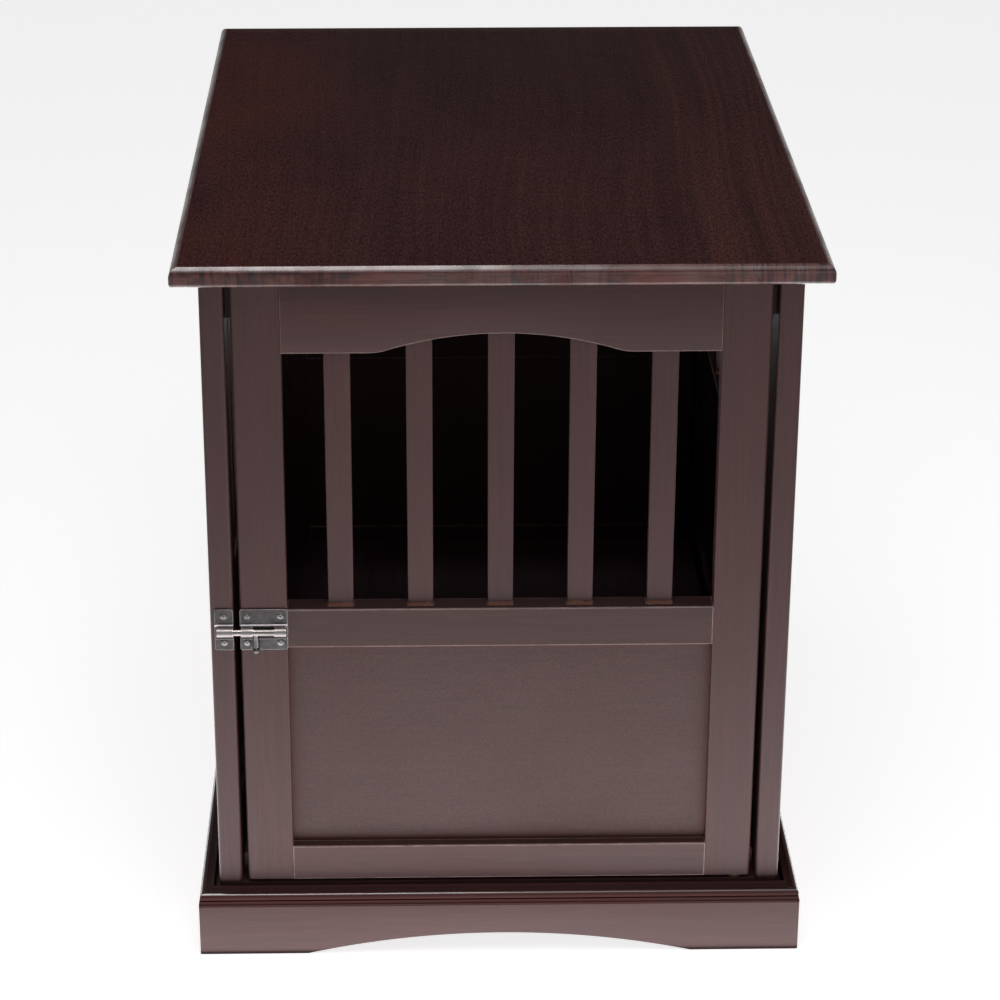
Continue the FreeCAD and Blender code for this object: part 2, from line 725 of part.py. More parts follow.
def crate_floor():
    """The floor panel. Its front edge is also the door's lower stop."""
    half = INNER_HALF_WIDTH - FLOOR_SIDE_GAP
    panel = block(
        (-half, half),
        (DOOR_BACK_FACE + STOP_GAP, -DOOR_BACK_FACE),
        (FLOOR_UNDERSIDE, FLOOR_UNDERSIDE + FLOOR_THICKNESS),
    )
    return panel.cut(swing_space())


def floor_cleats():
    """Battens under the floor's sides and back edge."""
    height = (FLOOR_UNDERSIDE - FLOOR_CLEAT_HEIGHT, FLOOR_UNDERSIDE)
    cleats = []
    for side in (-1, 1):
        ends = sorted((side * SIDE_RAIL_INNER, side * (SIDE_RAIL_INNER - FLOOR_CLEAT_WIDTH)))
        cleats.append(block(ends, (FRONT_FACE + SILL_DEPTH, POST_LENGTH_INNER), height))
    half = SIDE_RAIL_INNER - FLOOR_CLEAT_WIDTH
    cleats.append(
        block((-half, half), (-DOOR_BACK_FACE - FLOOR_CLEAT_WIDTH, -DOOR_BACK_FACE), height)
    )
    return cleats


def front_stretcher():
    """The rail under the top, behind the door. It ties the side frames and is the door's upper stop."""
    start = DOOR_BACK_FACE + STOP_GAP
    rail = block(
        (-INNER_HALF_WIDTH, INNER_HALF_WIDTH),
        (start, start + STOCK),
        (UNDER_TOP - STRETCHER_HEIGHT, UNDER_TOP),
    )
    return rail.cut(swing_space())


# ---------------------------------------------------------------- barrel bolt
PLATE_Z = (PANEL_TOP + WINDOW_BOTTOM) / 2
ROD_Z = PLATE_Z - ROD_DROP
LOOP_BORE = ROD_RADIUS + ROD_SLIDING_GAP
ROD_Y = FRONT_FACE - PLATE_THICKNESS - ROD_RADIUS - ROD_TO_PLATE
DOOR_PLATE_START = -DOOR_WIDTH / 2
DOOR_PLATE_END = DOOR_PLATE_START + STILE_WIDTH
FIRST_LOOP_START = DOOR_PLATE_START + LOOP_END_INSET
SECOND_LOOP_START = DOOR_PLATE_END - LOOP_END_INSET - LOOP_LENGTH
KEEPER_END = -INNER_HALF_WIDTH - KEEPER_INSET
KEEPER_START = KEEPER_END - KEEPER_WIDTH
KEEPER_LOOP_START = KEEPER_END - KEEPER_LOOP_LENGTH
KNOB_X = FIRST_LOOP_START + LOOP_LENGTH + KNOB_GAP + KNOB_STEM_RADIUS
BOLT_TRAVEL = SECOND_LOOP_START - KNOB_GAP - KNOB_STEM_RADIUS - KNOB_X
ROD_START = DOOR_PLATE_END - LOOP_END_INSET - ROD_LENGTH


def pressed_plate(start, end):
    """A thin plate on the door's or the post's face, with two stiffening ridges along it."""
    half = PLATE_HEIGHT / 2
    face = FRONT_FACE - PLATE_THICKNESS
    plate = block((start, end), (face, FRONT_FACE), (PLATE_Z - half, PLATE_Z + half))
    corners = [
        edge
        for edge in plate.Edges
        if edge.BoundBox.YLength > 1e-6 and edge.BoundBox.XLength + edge.BoundBox.ZLength < 1e-6
    ]
    plate = plate.makeFillet(PLATE_CORNER_RADIUS, corners)
    for offset in RIDGE_OFFSETS:
        ridge = Part.makeCylinder(
            RIDGE_RADIUS, end - start, Vector(start, face, ROD_Z + offset), Vector(1, 0, 0)
        )
        plate = plate.fuse(ridge.common(block((start, end), (ROD_Y, FRONT_FACE), (0, TABLE_HEIGHT))))
    return plate.removeSplitter()


def loop_outline(x, radius):
    """A U round the rod's axis, open towards the plate, in the plane x."""
    face = FRONT_FACE - PLATE_THICKNESS / 2

    def at(y, z):
        return Vector(x, y, ROD_Z + z)

    return [
        line(at(face, -radius), at(ROD_Y, -radius)),
        arc(at(ROD_Y, -radius), at(ROD_Y - radius, 0), at(ROD_Y, radius)),
        line(at(ROD_Y, radius), at(face, radius)),
        line(at(face, radius), at(face, -radius)),
    ]


def with_loop(plate, start, length):
    """The plate with a strap over the rod, from x = start."""
    strap = extruded(loop_outline(start, LOOP_BORE + LOOP_WALL), Vector(length, 0, 0))
    hollow = extruded(loop_outline(start - 1, LOOP_BORE), Vector(length + 2, 0, 0))
    sheet = block(
        (start - 1, start + length + 1),
        (FRONT_FACE - PLATE_THICKNESS, FRONT_FACE),
        (ROD_Z - LOOP_BORE - LOOP_WALL, ROD_Z + LOOP_BORE + LOOP_WALL),
    )
    return plate.fuse(strap.cut(hollow.cut(sheet))).removeSplitter()


def screw_places_on_plate():
    return [
        (x, PLATE_Z + side * SCREW_SPREAD / 2)
        for x in (DOOR_PLATE_START + SCREW_INSET, DOOR_PLATE_END - SCREW_INSET)
        for side in (-1, 1)
    ]


def screw_places_on_keeper():
    middle = (KEEPER_START + KEEPER_END) / 2
    return [(middle, PLATE_Z + side * SCREW_SPREAD / 2) for side in (-1, 1)]


def face_screws(places):
    """Pan-headed wood screws that go straight back into the wood at those places (x, z)."""
    seat = FRONT_FACE - PLATE_THICKNESS
    back = Vector(0, 1, 0)
    screws = []
    for x, z in places:
        head = Part.makeCone(
            SCREW_FACE_RADIUS, SCREW_HEAD_RADIUS, SCREW_HEAD_HEIGHT,
            Vector(x, seat - SCREW_HEAD_HEIGHT, z), back,
        )
        shank = Part.makeCylinder(
            SCREW_SHANK_RADIUS, SCREW_SHANK_LENGTH + PLATE_THICKNESS, Vector(x, seat, z), back
        )
        screws.append(head.fuse(shank).removeSplitter())
    return screws


def drilled(shape, places):
    """The shape less the screws' shanks at those places."""
    for screw in face_screws(places):
        shape = shape.cut(screw)
    return shape


def barrel_bolt():
    plate = with_loop(pressed_plate(DOOR_PLATE_START, DOOR_PLATE_END), FIRST_LOOP_START, LOOP_LENGTH)
    plate = with_loop(plate, SECOND_LOOP_START, LOOP_LENGTH)
    keeper = with_loop(pressed_plate(KEEPER_START, KEEPER_END), KEEPER_LOOP_START, KEEPER_LOOP_LENGTH)
    axis = Vector(1, 0, 0)
    rod = Part.makeCylinder(ROD_RADIUS, ROD_LENGTH, Vector(ROD_START, ROD_Y, ROD_Z), axis)
    rod = rod.makeChamfer(ROD_END_CHAMFER, [e for e in rod.Edges if e.BoundBox.XLength < 1e-6])
    return {
        "latch_plate": drilled(plate, screw_places_on_plate()),
        "latch_screws": face_screws(screw_places_on_plate()),
        "keeper": drilled(keeper, screw_places_on_keeper()),
        "keeper_screws": face_screws(screw_places_on_keeper()),
        "bolt_rod": rod,
        "bolt_knob": bolt_knob(),
    }


def bolt_knob():
    """The finger knob, turned as one piece, hanging from the rod: stem, collar, neck and ball."""
    ball_z = ROD_Z - KNOB_REACH + KNOB_BALL_RADIUS
    neck_drop = math.sqrt(KNOB_BALL_RADIUS**2 - KNOB_NECK_RADIUS**2)
    neck_z = ball_z + neck_drop
    collar_z = neck_z + KNOB_COLLAR_RADIUS - KNOB_NECK_RADIUS

    def at(radius, z):
        return Vector(KNOB_X + radius, ROD_Y, z)

    outline = [
        line(at(0, ROD_Z), at(KNOB_STEM_RADIUS, ROD_Z)),
        line(at(KNOB_STEM_RADIUS, ROD_Z), at(KNOB_STEM_RADIUS, collar_z + 3 * KNOB_STEM_RADIUS)),
        line(at(KNOB_STEM_RADIUS, collar_z + 3 * KNOB_STEM_RADIUS), at(KNOB_COLLAR_RADIUS, collar_z)),
        line(at(KNOB_COLLAR_RADIUS, collar_z), at(KNOB_NECK_RADIUS, neck_z)),
        arc(at(KNOB_NECK_RADIUS, neck_z), at(KNOB_BALL_RADIUS, ball_z), at(0, ROD_Z - KNOB_REACH)),
        line(at(0, ROD_Z - KNOB_REACH), at(0, ROD_Z)),
    ]
    knob = Part.Face(Part.Wire(outline)).revolve(Vector(KNOB_X, ROD_Y, ROD_Z), Vector(0, 0, 1), 360)
    rod_space = Part.makeCylinder(
        LOOP_BORE, 4 * KNOB_BALL_RADIUS, Vector(KNOB_X - 2 * KNOB_BALL_RADIUS, ROD_Y, ROD_Z), Vector(1, 0, 0)
    )
    return knob.cut(rod_space)


# ---------------------------------------------------------------- the whole table
def all_pieces():
    made = {}
    made.update(tabletop())
    made["top_cleats"] = top_cleats()
    made["top_screws"] = top_screws()
    made.update(side_frames())
    made.update(back_frame())
    made.update(base())
    made["front_sill"] = front_sill()
    made["floor_panel"] = crate_floor()
    made["floor_cleats"] = floor_cleats()
    made["front_stretcher"] = front_stretcher()
    made.update(door())
    made.update(pivot_pins())
    made["pivot_bushes"] = pivot_bushes()
    made.update(barrel_bolt())
    return made


def main():
    os.makedirs("parts", exist_ok=True)
    for name, shape in all_pieces().items():
        solids = [s for piece in (shape if isinstance(shape, list) else [shape]) for s in piece.Solids]
        whole = Part.makeCompound(solids) if len(solids) > 1 else solids[0]
        if not whole.isValid():
            raise ValueError(name + " is not a valid solid")
        whole.exportStep("parts/" + name + ".step")
    print("bolt travel %.2f mm, pivot at %.2f, %.2f, rod at %.2f, %.2f, cabin floor at %.2f" % (
        BOLT_TRAVEL, PIVOT_X, PIVOT_Y, ROD_Y, ROD_Z, FLOOR_UNDERSIDE + FLOOR_THICKNESS))


main()
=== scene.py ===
import bpy
import bmesh
import math
from mathutils import Matrix, Vector


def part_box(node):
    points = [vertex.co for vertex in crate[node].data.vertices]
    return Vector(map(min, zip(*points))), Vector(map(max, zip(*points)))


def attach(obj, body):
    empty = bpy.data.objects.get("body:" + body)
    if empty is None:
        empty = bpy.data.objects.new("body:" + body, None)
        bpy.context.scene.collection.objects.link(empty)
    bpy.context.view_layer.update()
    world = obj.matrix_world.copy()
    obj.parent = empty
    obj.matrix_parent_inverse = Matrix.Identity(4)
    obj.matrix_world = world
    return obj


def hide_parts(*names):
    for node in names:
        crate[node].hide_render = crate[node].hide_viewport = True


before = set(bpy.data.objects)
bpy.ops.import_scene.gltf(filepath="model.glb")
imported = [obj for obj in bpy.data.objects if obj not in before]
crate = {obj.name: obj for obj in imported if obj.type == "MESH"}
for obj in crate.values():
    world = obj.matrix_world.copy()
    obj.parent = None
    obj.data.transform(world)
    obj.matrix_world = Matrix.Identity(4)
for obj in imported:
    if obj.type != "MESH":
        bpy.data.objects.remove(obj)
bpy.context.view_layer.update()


# ---------------------------------------------------------------- base boards
# Four boards stand on edge under the crate, mitred at the corners. A shallow arch is sawn from the
# foot of each, which leaves a flat foot at every corner. They are stained hardwood, satin lacquered.

BASE_FOOT, BASE_RISE, BASE_ARRIS = 0.090, 0.0185, 0.0008
BOARD_STEPS = 240


class NodeBench:
    """Lays out one node tree: add a node with its settings, and join sockets by plain assignment."""

    def __init__(self, tree):
        self.tree = tree

    def add(self, kind, sockets=None, **settings):
        node = self.tree.nodes.new(kind)
        for name, value in settings.items():
            setattr(node, name, value)
        for key, value in (sockets or {}).items():
            self.feed(node.inputs[key], value)
        return node

    def feed(self, socket, value):
        if isinstance(value, bpy.types.NodeSocket):
            self.tree.links.new(value, socket)
        elif socket.type == "RGBA" and len(value) == 3:
            socket.default_value = (*value, 1)
        else:
            socket.default_value = value

    def sum(self, operation, *values):
        return self.add("ShaderNodeMath", dict(enumerate(values)), operation=operation).outputs[0]

    def vector_sum(self, operation, *values):
        return self.add("ShaderNodeVectorMath", dict(enumerate(values)), operation=operation).outputs[0]

    def vector(self, **axes):
        return self.add("ShaderNodeCombineXYZ", axes).outputs[0]

    def split(self, vector):
        return self.add("ShaderNodeSeparateXYZ", {0: vector}).outputs

    def spot(self):
        return self.add("ShaderNodeTexCoord").outputs["Object"]

    def noise(self, vector, scale, detail, rough=0.5, bend=0.0):
        """A noise pattern's value. A scale of three numbers stretches it along the axes."""
        if isinstance(scale, tuple):
            vector, scale = self.vector_sum("MULTIPLY", vector, scale), 1.0
        return self.add("ShaderNodeTexNoise", {"Vector": vector, "Scale": scale, "Detail": detail,
                                               "Roughness": rough, "Distortion": bend}).outputs["Fac"]

    def mix_colour(self, factor, a, b, blend="MIX"):
        node = self.add("ShaderNodeMix", data_type="RGBA", blend_type=blend, clamp_factor=True)
        for index, value in ((0, factor), (6, a), (7, b)):
            self.feed(node.inputs[index], value)
        return node.outputs[2]

    def shade(self, colour, brightness):
        grey = self.add("ShaderNodeCombineColor", {0: brightness, 1: brightness, 2: brightness})
        return self.mix_colour(1.0, colour, grey.outputs[0], "MULTIPLY")

    def ramp(self, value, low, high, to_low=0.0, to_high=1.0, smooth=False):
        return self.add("ShaderNodeMapRange", dict(enumerate((value, low, high, to_low, to_high))),
                        interpolation_type="SMOOTHSTEP" if smooth else "LINEAR", clamp=True).outputs[0]

    def emboss(self, shader, height, strength, distance):
        relief = self.add("ShaderNodeBump", {"Strength": strength, "Distance": distance, "Height": height})
        self.feed(shader.inputs["Normal"], relief.outputs["Normal"])

    def dress(self, geometry, finish, out):
        """Ends a geometry tree: instances made real, and the finish put on."""
        real = self.add("GeometryNodeRealizeInstances", {"Geometry": geometry})
        dressed = self.add("GeometryNodeSetMaterial", {"Geometry": real.outputs[0], "Material": finish})
        self.feed(out["Geometry"], dressed.outputs[0])


def new_shaping_tree(name, sockets):
    """A geometry tree with named size inputs, its bench, and its group input and output nodes."""
    tree = bpy.data.node_groups.new(name, "GeometryNodeTree")
    tree.interface.new_socket("Geometry", in_out="OUTPUT", socket_type="NodeSocketGeometry")
    for label, kind in sockets:
        tree.interface.new_socket(label, in_out="INPUT", socket_type="NodeSocket" + kind)
    bench = NodeBench(tree)
    return tree, bench, bench.add("NodeGroupInput").outputs, bench.add("NodeGroupOutput").inputs


def shape_from(tree, name, values, place, arris=0.0, sharp=30):
    """Runs a tree with these input values and keeps the result as a plain mesh, put in its place."""
    shaper = bpy.data.objects.new(name + "_shaper", bpy.data.meshes.new(name + "_shaper"))
    bpy.context.scene.collection.objects.link(shaper)
    modifier = shaper.modifiers.new("shape", "NODES")
    modifier.node_group = tree
    for item in tree.interface.items_tree:
        if item.in_out == "INPUT" and item.name in values:
            modifier[item.identifier] = values[item.name]
    if arris:
        ease = shaper.modifiers.new("arris", "BEVEL")
        ease.width, ease.segments, ease.limit_method = arris, 3, "ANGLE"
        ease.angle_limit = math.radians(40)
    evaluated = shaper.evaluated_get(bpy.context.evaluated_depsgraph_get())
    mesh = bpy.data.meshes.new_from_object(evaluated)
    mesh.name = name
    bpy.data.objects.remove(shaper)
    mesh.transform(place)
    mesh.shade_smooth()
    mesh.set_sharp_from_angle(angle=math.radians(sharp))
    piece = bpy.data.objects.new(name, mesh)
    bpy.context.scene.collection.objects.link(piece)
    return piece


def arch_crown(b, half_span, rise, blend, away):
    """Height of an arch's crown at a distance from its middle. Also the crown's radius, and that
    of a plain arc through both ends."""
    squares = b.sum("ADD", b.sum("MULTIPLY", half_span, half_span), b.sum("MULTIPLY", rise, rise))
    through = b.sum("DIVIDE", squares, b.sum("MULTIPLY", rise, 2.0))
    radius = b.sum("SUBTRACT", through, blend)
    level = b.sum("SQRT", b.sum("SUBTRACT", b.sum("MULTIPLY", radius, radius),
                                b.sum("MULTIPLY", away, away)))
    return b.sum("ADD", b.sum("SUBTRACT", rise, radius), level), radius, through


def arched_board_tree():
    """A board on edge: outer face on y = 0, foot on z = 0, its lower edge straight, then blended
    into a flat crown. Mitre draws the back in at both ends by the board's thickness."""
    tree, b, given, out = new_shaping_tree("arched_board", [
        ("Length", "Float"), ("Height", "Float"), ("Thickness", "Float"), ("Shoulder", "Float"),
        ("Rise", "Float"), ("Blend", "Float"), ("Mitre", "Float"), ("Finish", "Material")])
    grid = b.add("GeometryNodeMeshGrid", {"Size X": given["Length"], "Size Y": 1.0,
                                          "Vertices X": BOARD_STEPS + 1, "Vertices Y": 2})
    where = b.split(b.add("GeometryNodeInputPosition").outputs[0])
    away = b.sum("ABSOLUTE", where["X"])
    half_span = b.sum("SUBTRACT", b.sum("MULTIPLY", given["Length"], 0.5), given["Shoulder"])
    crown, radius, through = arch_crown(b, half_span, given["Rise"], given["Blend"], away)
    tangent = b.sum("MULTIPLY", half_span, b.sum("DIVIDE", radius, through))
    reach = b.sum("SUBTRACT", half_span, away)
    hollow = b.sum("SUBTRACT", given["Blend"],
                   b.sum("SQRT", b.sum("SUBTRACT", b.sum("MULTIPLY", given["Blend"], given["Blend"]),
                                       b.sum("MULTIPLY", reach, reach))))
    in_crown = b.sum("LESS_THAN", away, tangent)
    in_span = b.sum("LESS_THAN", away, half_span)
    edge = b.sum("ADD", b.sum("MULTIPLY", in_crown, crown),
                 b.sum("MULTIPLY", b.sum("SUBTRACT", in_span, in_crown), hollow))
    up = b.sum("ADD", where["Y"], 0.5)
    height = b.sum("ADD", edge, b.sum("MULTIPLY", up, b.sum("SUBTRACT", given["Height"], edge)))
    behind = b.vector(X=where["X"], Y=given["Thickness"], Z=height)
    back = b.add("GeometryNodeSetPosition", {"Geometry": grid.outputs["Mesh"], "Position": behind})
    forward = b.vector(Y=b.sum("MULTIPLY", given["Thickness"], -1.0))
    front = b.add("GeometryNodeExtrudeMesh", {"Mesh": back.outputs[0], "Offset": forward,
                                              "Offset Scale": 1.0, "Individual": False}, mode="FACES")
    closing = b.add("GeometryNodeFlipFaces", {"Mesh": back.outputs[0]})
    both = b.add("GeometryNodeJoinGeometry")
    for half in (front, closing):
        tree.links.new(half.outputs[0], both.inputs[0])
    welded = b.add("GeometryNodeMergeByDistance", {"Geometry": both.outputs[0], "Distance": 1e-6})
    place = b.split(b.add("GeometryNodeInputPosition").outputs[0])
    drawn_in = b.sum("MULTIPLY", given["Mitre"],
                     b.sum("DIVIDE", b.sum("MULTIPLY", place["Y"], 2.0), given["Length"]))
    mitred = b.vector(X=b.sum("MULTIPLY", place["X"], b.sum("SUBTRACT", 1.0, drawn_in)),
                      Y=place["Y"], Z=place["Z"])
    shaped = b.add("GeometryNodeSetPosition", {"Geometry": welded.outputs[0], "Position": mitred})
    b.dress(shaped.outputs[0], given["Finish"], out)
    return tree


def new_finish(name):
    """An empty node material: its bench and its Principled shader."""
    material = bpy.data.materials.new(name)
    material.use_nodes = True
    bench = NodeBench(material.node_tree)
    return material, bench, material.node_tree.nodes["Principled BSDF"]


def new_effect(name, inputs, outputs):
    """A shader group with named inputs and outputs, used by more than one finish."""
    tree = bpy.data.node_groups.new(name, "ShaderNodeTree")
    for label, kind, value in inputs:
        socket = tree.interface.new_socket(label, in_out="INPUT", socket_type="NodeSocket" + kind)
        socket.default_value = value
    for label, kind in outputs:
        tree.interface.new_socket(label, in_out="OUTPUT", socket_type="NodeSocket" + kind)
    bench = NodeBench(tree)
    return tree, bench, bench.add("NodeGroupInput").outputs, bench.add("NodeGroupOutput").inputs


def wood_grain_effect():
    """Stained wood with its grain along the vector's Z: broad tone, growth streaks, fibre and pores."""
    tree, b, given, out = new_effect("stained_wood_grain", [
        ("Vector", "Vector", (0, 0, 0)), ("Deep", "Color", (0.02, 0.01, 0.01, 1)),
        ("Stain", "Color", (0.06, 0.03, 0.03, 1)), ("Warm", "Color", (0.10, 0.04, 0.03, 1)),
        ("Figure", "Float", 0.5), ("Streak", "Float", 0.5), ("Pores", "Float", 0.5),
        ("Waviness", "Float", 0.010)],
        [("Color", "Color"), ("Tone", "Float"), ("Height", "Float")])
    drift = b.add("ShaderNodeTexNoise", {"Vector": given["Vector"], "Scale": 5.0, "Detail": 2.0})
    sway = b.vector_sum("SUBTRACT", drift.outputs["Color"], (0.5, 0.5, 0.5))
    scaled = b.add("ShaderNodeVectorMath", {0: sway}, operation="SCALE")
    b.feed(scaled.inputs["Scale"], given["Waviness"])
    wavy = b.vector_sum("ADD", given["Vector"], scaled.outputs[0])

    def streaks(across, along, detail, rough=0.55, bend=0.0):
        return b.noise(wavy, (across, across, along), detail, rough, bend)

    tone = b.ramp(streaks(22, 3.0, 3.0), 0.30, 0.72, smooth=True)
    growth = b.ramp(streaks(150, 5.0, 4.0, 0.6, 0.4), 0.34, 0.68)
    fibre = b.ramp(streaks(620, 16.0, 3.0, 0.6), 0.30, 0.72)
    pore = b.ramp(streaks(1500, 60.0, 2.0, 0.5), 0.60, 0.70)
    colour = b.mix_colour(b.sum("MULTIPLY", growth, given["Streak"]), given["Stain"], given["Deep"])
    colour = b.mix_colour(b.sum("MULTIPLY", tone, given["Figure"]), colour, given["Warm"])
    colour = b.shade(colour, b.ramp(fibre, 0.0, 1.0, 0.86, 1.12))
    pored = b.sum("MULTIPLY", pore, given["Pores"])
    colour = b.mix_colour(pored, colour, given["Deep"])
    b.feed(out["Color"], colour)
    b.feed(out["Tone"], tone)
    height = b.sum("SUBTRACT", b.sum("MULTIPLY", fibre, 0.4), pored)
    b.feed(out["Height"], b.sum("ADD", height, b.sum("MULTIPLY", growth, 0.3)))
    return tree


def worn_edge_and_highlight_effect():
    """Where an outer edge has been eased: 1 on the edge, 0 on the flat. It marks stain rubbed thin
    and worn metal, and on the wood's eased edges it also carries a painted highlight.
    """
    tree, b, given, out = new_effect("worn_edge_and_highlight", [
        ("Reach", "Float", 0.001), ("Break", "Float", 0.5), ("Vector", "Vector", (0, 0, 0))],
        [("Edge", "Float")])
    rounded = b.add("ShaderNodeBevel", {"Radius": given["Reach"]}, samples=4)
    true = b.add("ShaderNodeNewGeometry").outputs["Normal"]
    facing = b.add("ShaderNodeVectorMath", {0: rounded.outputs[0], 1: true}, operation="DOT_PRODUCT")
    bent = b.ramp(facing.outputs["Value"], 0.992, 0.88)
    patchy = b.noise(given["Vector"], 90.0, 3.0)
    kept = b.ramp(patchy, 0.30, 0.62, b.sum("SUBTRACT", 1.0, given["Break"]), 1.0)
    b.feed(out["Edge"], b.sum("MULTIPLY", bent, kept))
    return tree


wood_grain = wood_grain_effect()
worn_edge_and_highlight = worn_edge_and_highlight_effect()
GRAIN_TURNS = {"x": (0, math.pi / 2, 0), "y": (math.pi / 2, 0, 0), "z": (0, 0, 0)}
BARE_WOOD = (0.30, 0.13, 0.085)
CHAFED_HEIGHT, CHAFE_FADE = 0.0018, 0.0018
HOLLOW_FADE, DULL = 0.0008, 0.8


def stained_wood(name, along, deep, stain, warm, shift=(0, 0, 0), figure=0.45, streak=0.5, pores=0.45,
                 waviness=0.010, rough=(0.42, 0.52), sheen_level=0.30, edge_colour=None,
                 edge_reach=0.0009, edge_strength=0.6, attribute=None, mottle=0.0,
                 proud_from=None, proud_within=None, foot_at=None, lacquer=0.0):
    """A stained and lacquered wood whose grain runs along x, y or z. It may be cut from its own
    place in the board (attribute), figured (mottle), glossy only where it stands proud and painted
    darker in the hollows below it as painted shade, chafed bare at a slat's foot, or lacquered
    unevenly."""
    material, b, shader = new_finish(name)
    spot = own_spot = b.spot()
    if attribute:
        own = b.add("ShaderNodeAttribute", attribute_type="GEOMETRY", attribute_name=attribute)
        spot = b.vector_sum("ADD", spot, own.outputs["Vector"])
    turned = b.add("ShaderNodeMapping", {"Vector": spot, "Location": shift,
                                         "Rotation": GRAIN_TURNS[along]}).outputs[0]
    grain = b.add("ShaderNodeGroup", {
        "Vector": turned, "Deep": deep, "Stain": stain, "Warm": warm, "Figure": figure,
        "Streak": streak, "Pores": pores, "Waviness": waviness}, node_tree=wood_grain).outputs
    edge = b.add("ShaderNodeGroup", {"Reach": edge_reach, "Vector": spot}, node_tree=worn_edge_and_highlight).outputs
    colour, height = grain["Color"], grain["Height"]
    if mottle:
        flame = b.noise(turned, (120, 120, 20), 4.0, 0.6, 1.5)
        curl = b.sum("MULTIPLY", b.ramp(b.noise(turned, (30, 30, 240), 2.0, 0.6, 0.4), 0.48, 0.60),
                     b.ramp(b.noise(turned, (6, 6, 9), 2.0, 0.6), 0.38, 0.54))
        colour = b.mix_colour(b.ramp(flame, 0.52, 0.64, 0.0, mottle), colour, warm)
        colour = b.mix_colour(b.ramp(flame, 0.46, 0.36, 0.0, 0.8 * mottle), colour, deep)
        colour = b.mix_colour(b.sum("MULTIPLY", curl, mottle), colour, deep)
        height = b.sum("ADD", height, b.sum("MULTIPLY", b.sum("ADD", flame, curl), 2.0 * mottle))
    # Eased edges are mixed toward a lighter, redder colour: stain rubbed thin, and partly a painted
    # highlight along the edge.
    thin_stain_and_highlight = edge_colour or tuple(2.1 * c for c in warm)
    colour = b.mix_colour(b.sum("MULTIPLY", edge["Edge"], edge_strength), colour, thin_stain_and_highlight)
    gloss = b.ramp(grain["Tone"], 0.0, 1.0, *rough)
    where = b.split(own_spot)
    if foot_at:
        chafed = b.noise(spot, 160.0, 3.0)
        reach = b.sum("ADD", where["Z"], b.sum("MULTIPLY", b.sum("SUBTRACT", chafed, 0.5), 0.004))
        bare = b.ramp(reach, foot_at + CHAFED_HEIGHT + CHAFE_FADE, foot_at + CHAFED_HEIGHT)
        colour = b.mix_colour(b.sum("MULTIPLY", bare, 0.85), colour, BARE_WOOD)
    if proud_from:
        half_x, half_y, depth = proud_within
        inward = b.sum("MINIMUM", b.sum("SUBTRACT", half_x, b.sum("ABSOLUTE", where["X"])),
                       b.sum("SUBTRACT", half_y, b.sum("ABSOLUTE", where["Y"])))
        hollow = b.sum("MAXIMUM", b.ramp(where["Z"], proud_from, proud_from - HOLLOW_FADE),
                       b.ramp(inward, depth, depth + HOLLOW_FADE / 2))
        # Below and behind the bead the colour is mixed toward the deep tone: painted shade in the hollows.
        colour = b.mix_colour(b.sum("MULTIPLY", hollow, 0.6), colour, deep)
        gloss = b.sum("MAXIMUM", gloss, b.sum("MULTIPLY", hollow, DULL))
        b.feed(shader.inputs["Coat Weight"], b.ramp(hollow, 0.0, 0.6, 1.0, 0.0))
        shader.inputs["Coat Roughness"].default_value = 0.12
    if lacquer:
        pooled = b.noise(spot, 26.0, 4.0)
        b.feed(shader.inputs["Coat Weight"], b.ramp(pooled, 0.36, 0.62, 0.35 * lacquer, lacquer))
        shader.inputs["Coat Roughness"].default_value = 0.24
    b.feed(shader.inputs["Base Color"], colour)
    b.feed(shader.inputs["Roughness"], gloss)
    shader.inputs["Specular IOR Level"].default_value = sheen_level
    b.emboss(shader, height, 0.25, 0.00025)
    return material


ESPRESSO = dict(deep=(0.030, 0.0115, 0.0115), stain=(0.057, 0.0225, 0.0225),
                warm=(0.076, 0.031, 0.028))
base_long_grain = stained_wood("base_wood_along_x", "x", **ESPRESSO)
base_side_grain = stained_wood("base_wood_along_y", "y", **ESPRESSO)
arched_board = arched_board_tree()

low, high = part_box("base_board_front")[0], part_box("base_board_back")[1]
base_half = {"front": (high.x, -low.y), "back": (high.x, high.y),
             "left": (high.y, -low.x), "right": (high.y, high.x)}
SIDE_TURNS = {"front": 0, "right": 90, "back": 180, "left": 270}
board_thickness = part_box("base_board_front")[1].y - low.y
board_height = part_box("base_board_front")[1].z


def set_on_side(side, out, up):
    """Turns a piece built with its outer face on y = 0 so that it faces out on that side."""
    return Matrix.Rotation(math.radians(SIDE_TURNS[side]), 4, "Z") @ Matrix.Translation((0, -out, up))


for side, (half_run, out) in base_half.items():
    board = shape_from(arched_board, "arched_base_board_" + side, {
        "Length": 2 * half_run, "Height": board_height, "Thickness": board_thickness,
        "Shoulder": BASE_FOOT, "Rise": BASE_RISE, "Blend": 0.0, "Mitre": 1.0,
        "Finish": base_long_grain if side in ("front", "back") else base_side_grain},
        set_on_side(side, out, 0.0), arris=BASE_ARRIS)
    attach(board, "carcass")
    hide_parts("base_board_" + side)


# ---------------------------------------------------------------- base moulding
# A strip moulding lies on the boards, mitred at the corners: a lip over the joint, a ledge, a plain
# band, a round bead and a hollow cove up to a flat top. Only the bead's crest is rubbed to a gloss,
# and below and behind it the moulding is painted darker, as painted shade in its hollows.

LIP_RISE, LEDGE_DEPTH, LEDGE_FALL, BAND_RISE = 0.0016, 0.0009, 0.0003, 0.0027
BEAD_RADIUS, COVE_RADIUS, MOULDING_DEPTH, LIP_EASE = 0.0033, 0.0038, 0.012, 0.0002


def arc_points(centre, radius, start, end, steps):
    """Points on an arc in a section, from one angle in degrees to another."""
    return [(centre[0] + radius * math.cos(math.radians(start + (end - start) * k / steps)),
             centre[1] + radius * math.sin(math.radians(start + (end - start) * k / steps)))
            for k in range(steps + 1)]


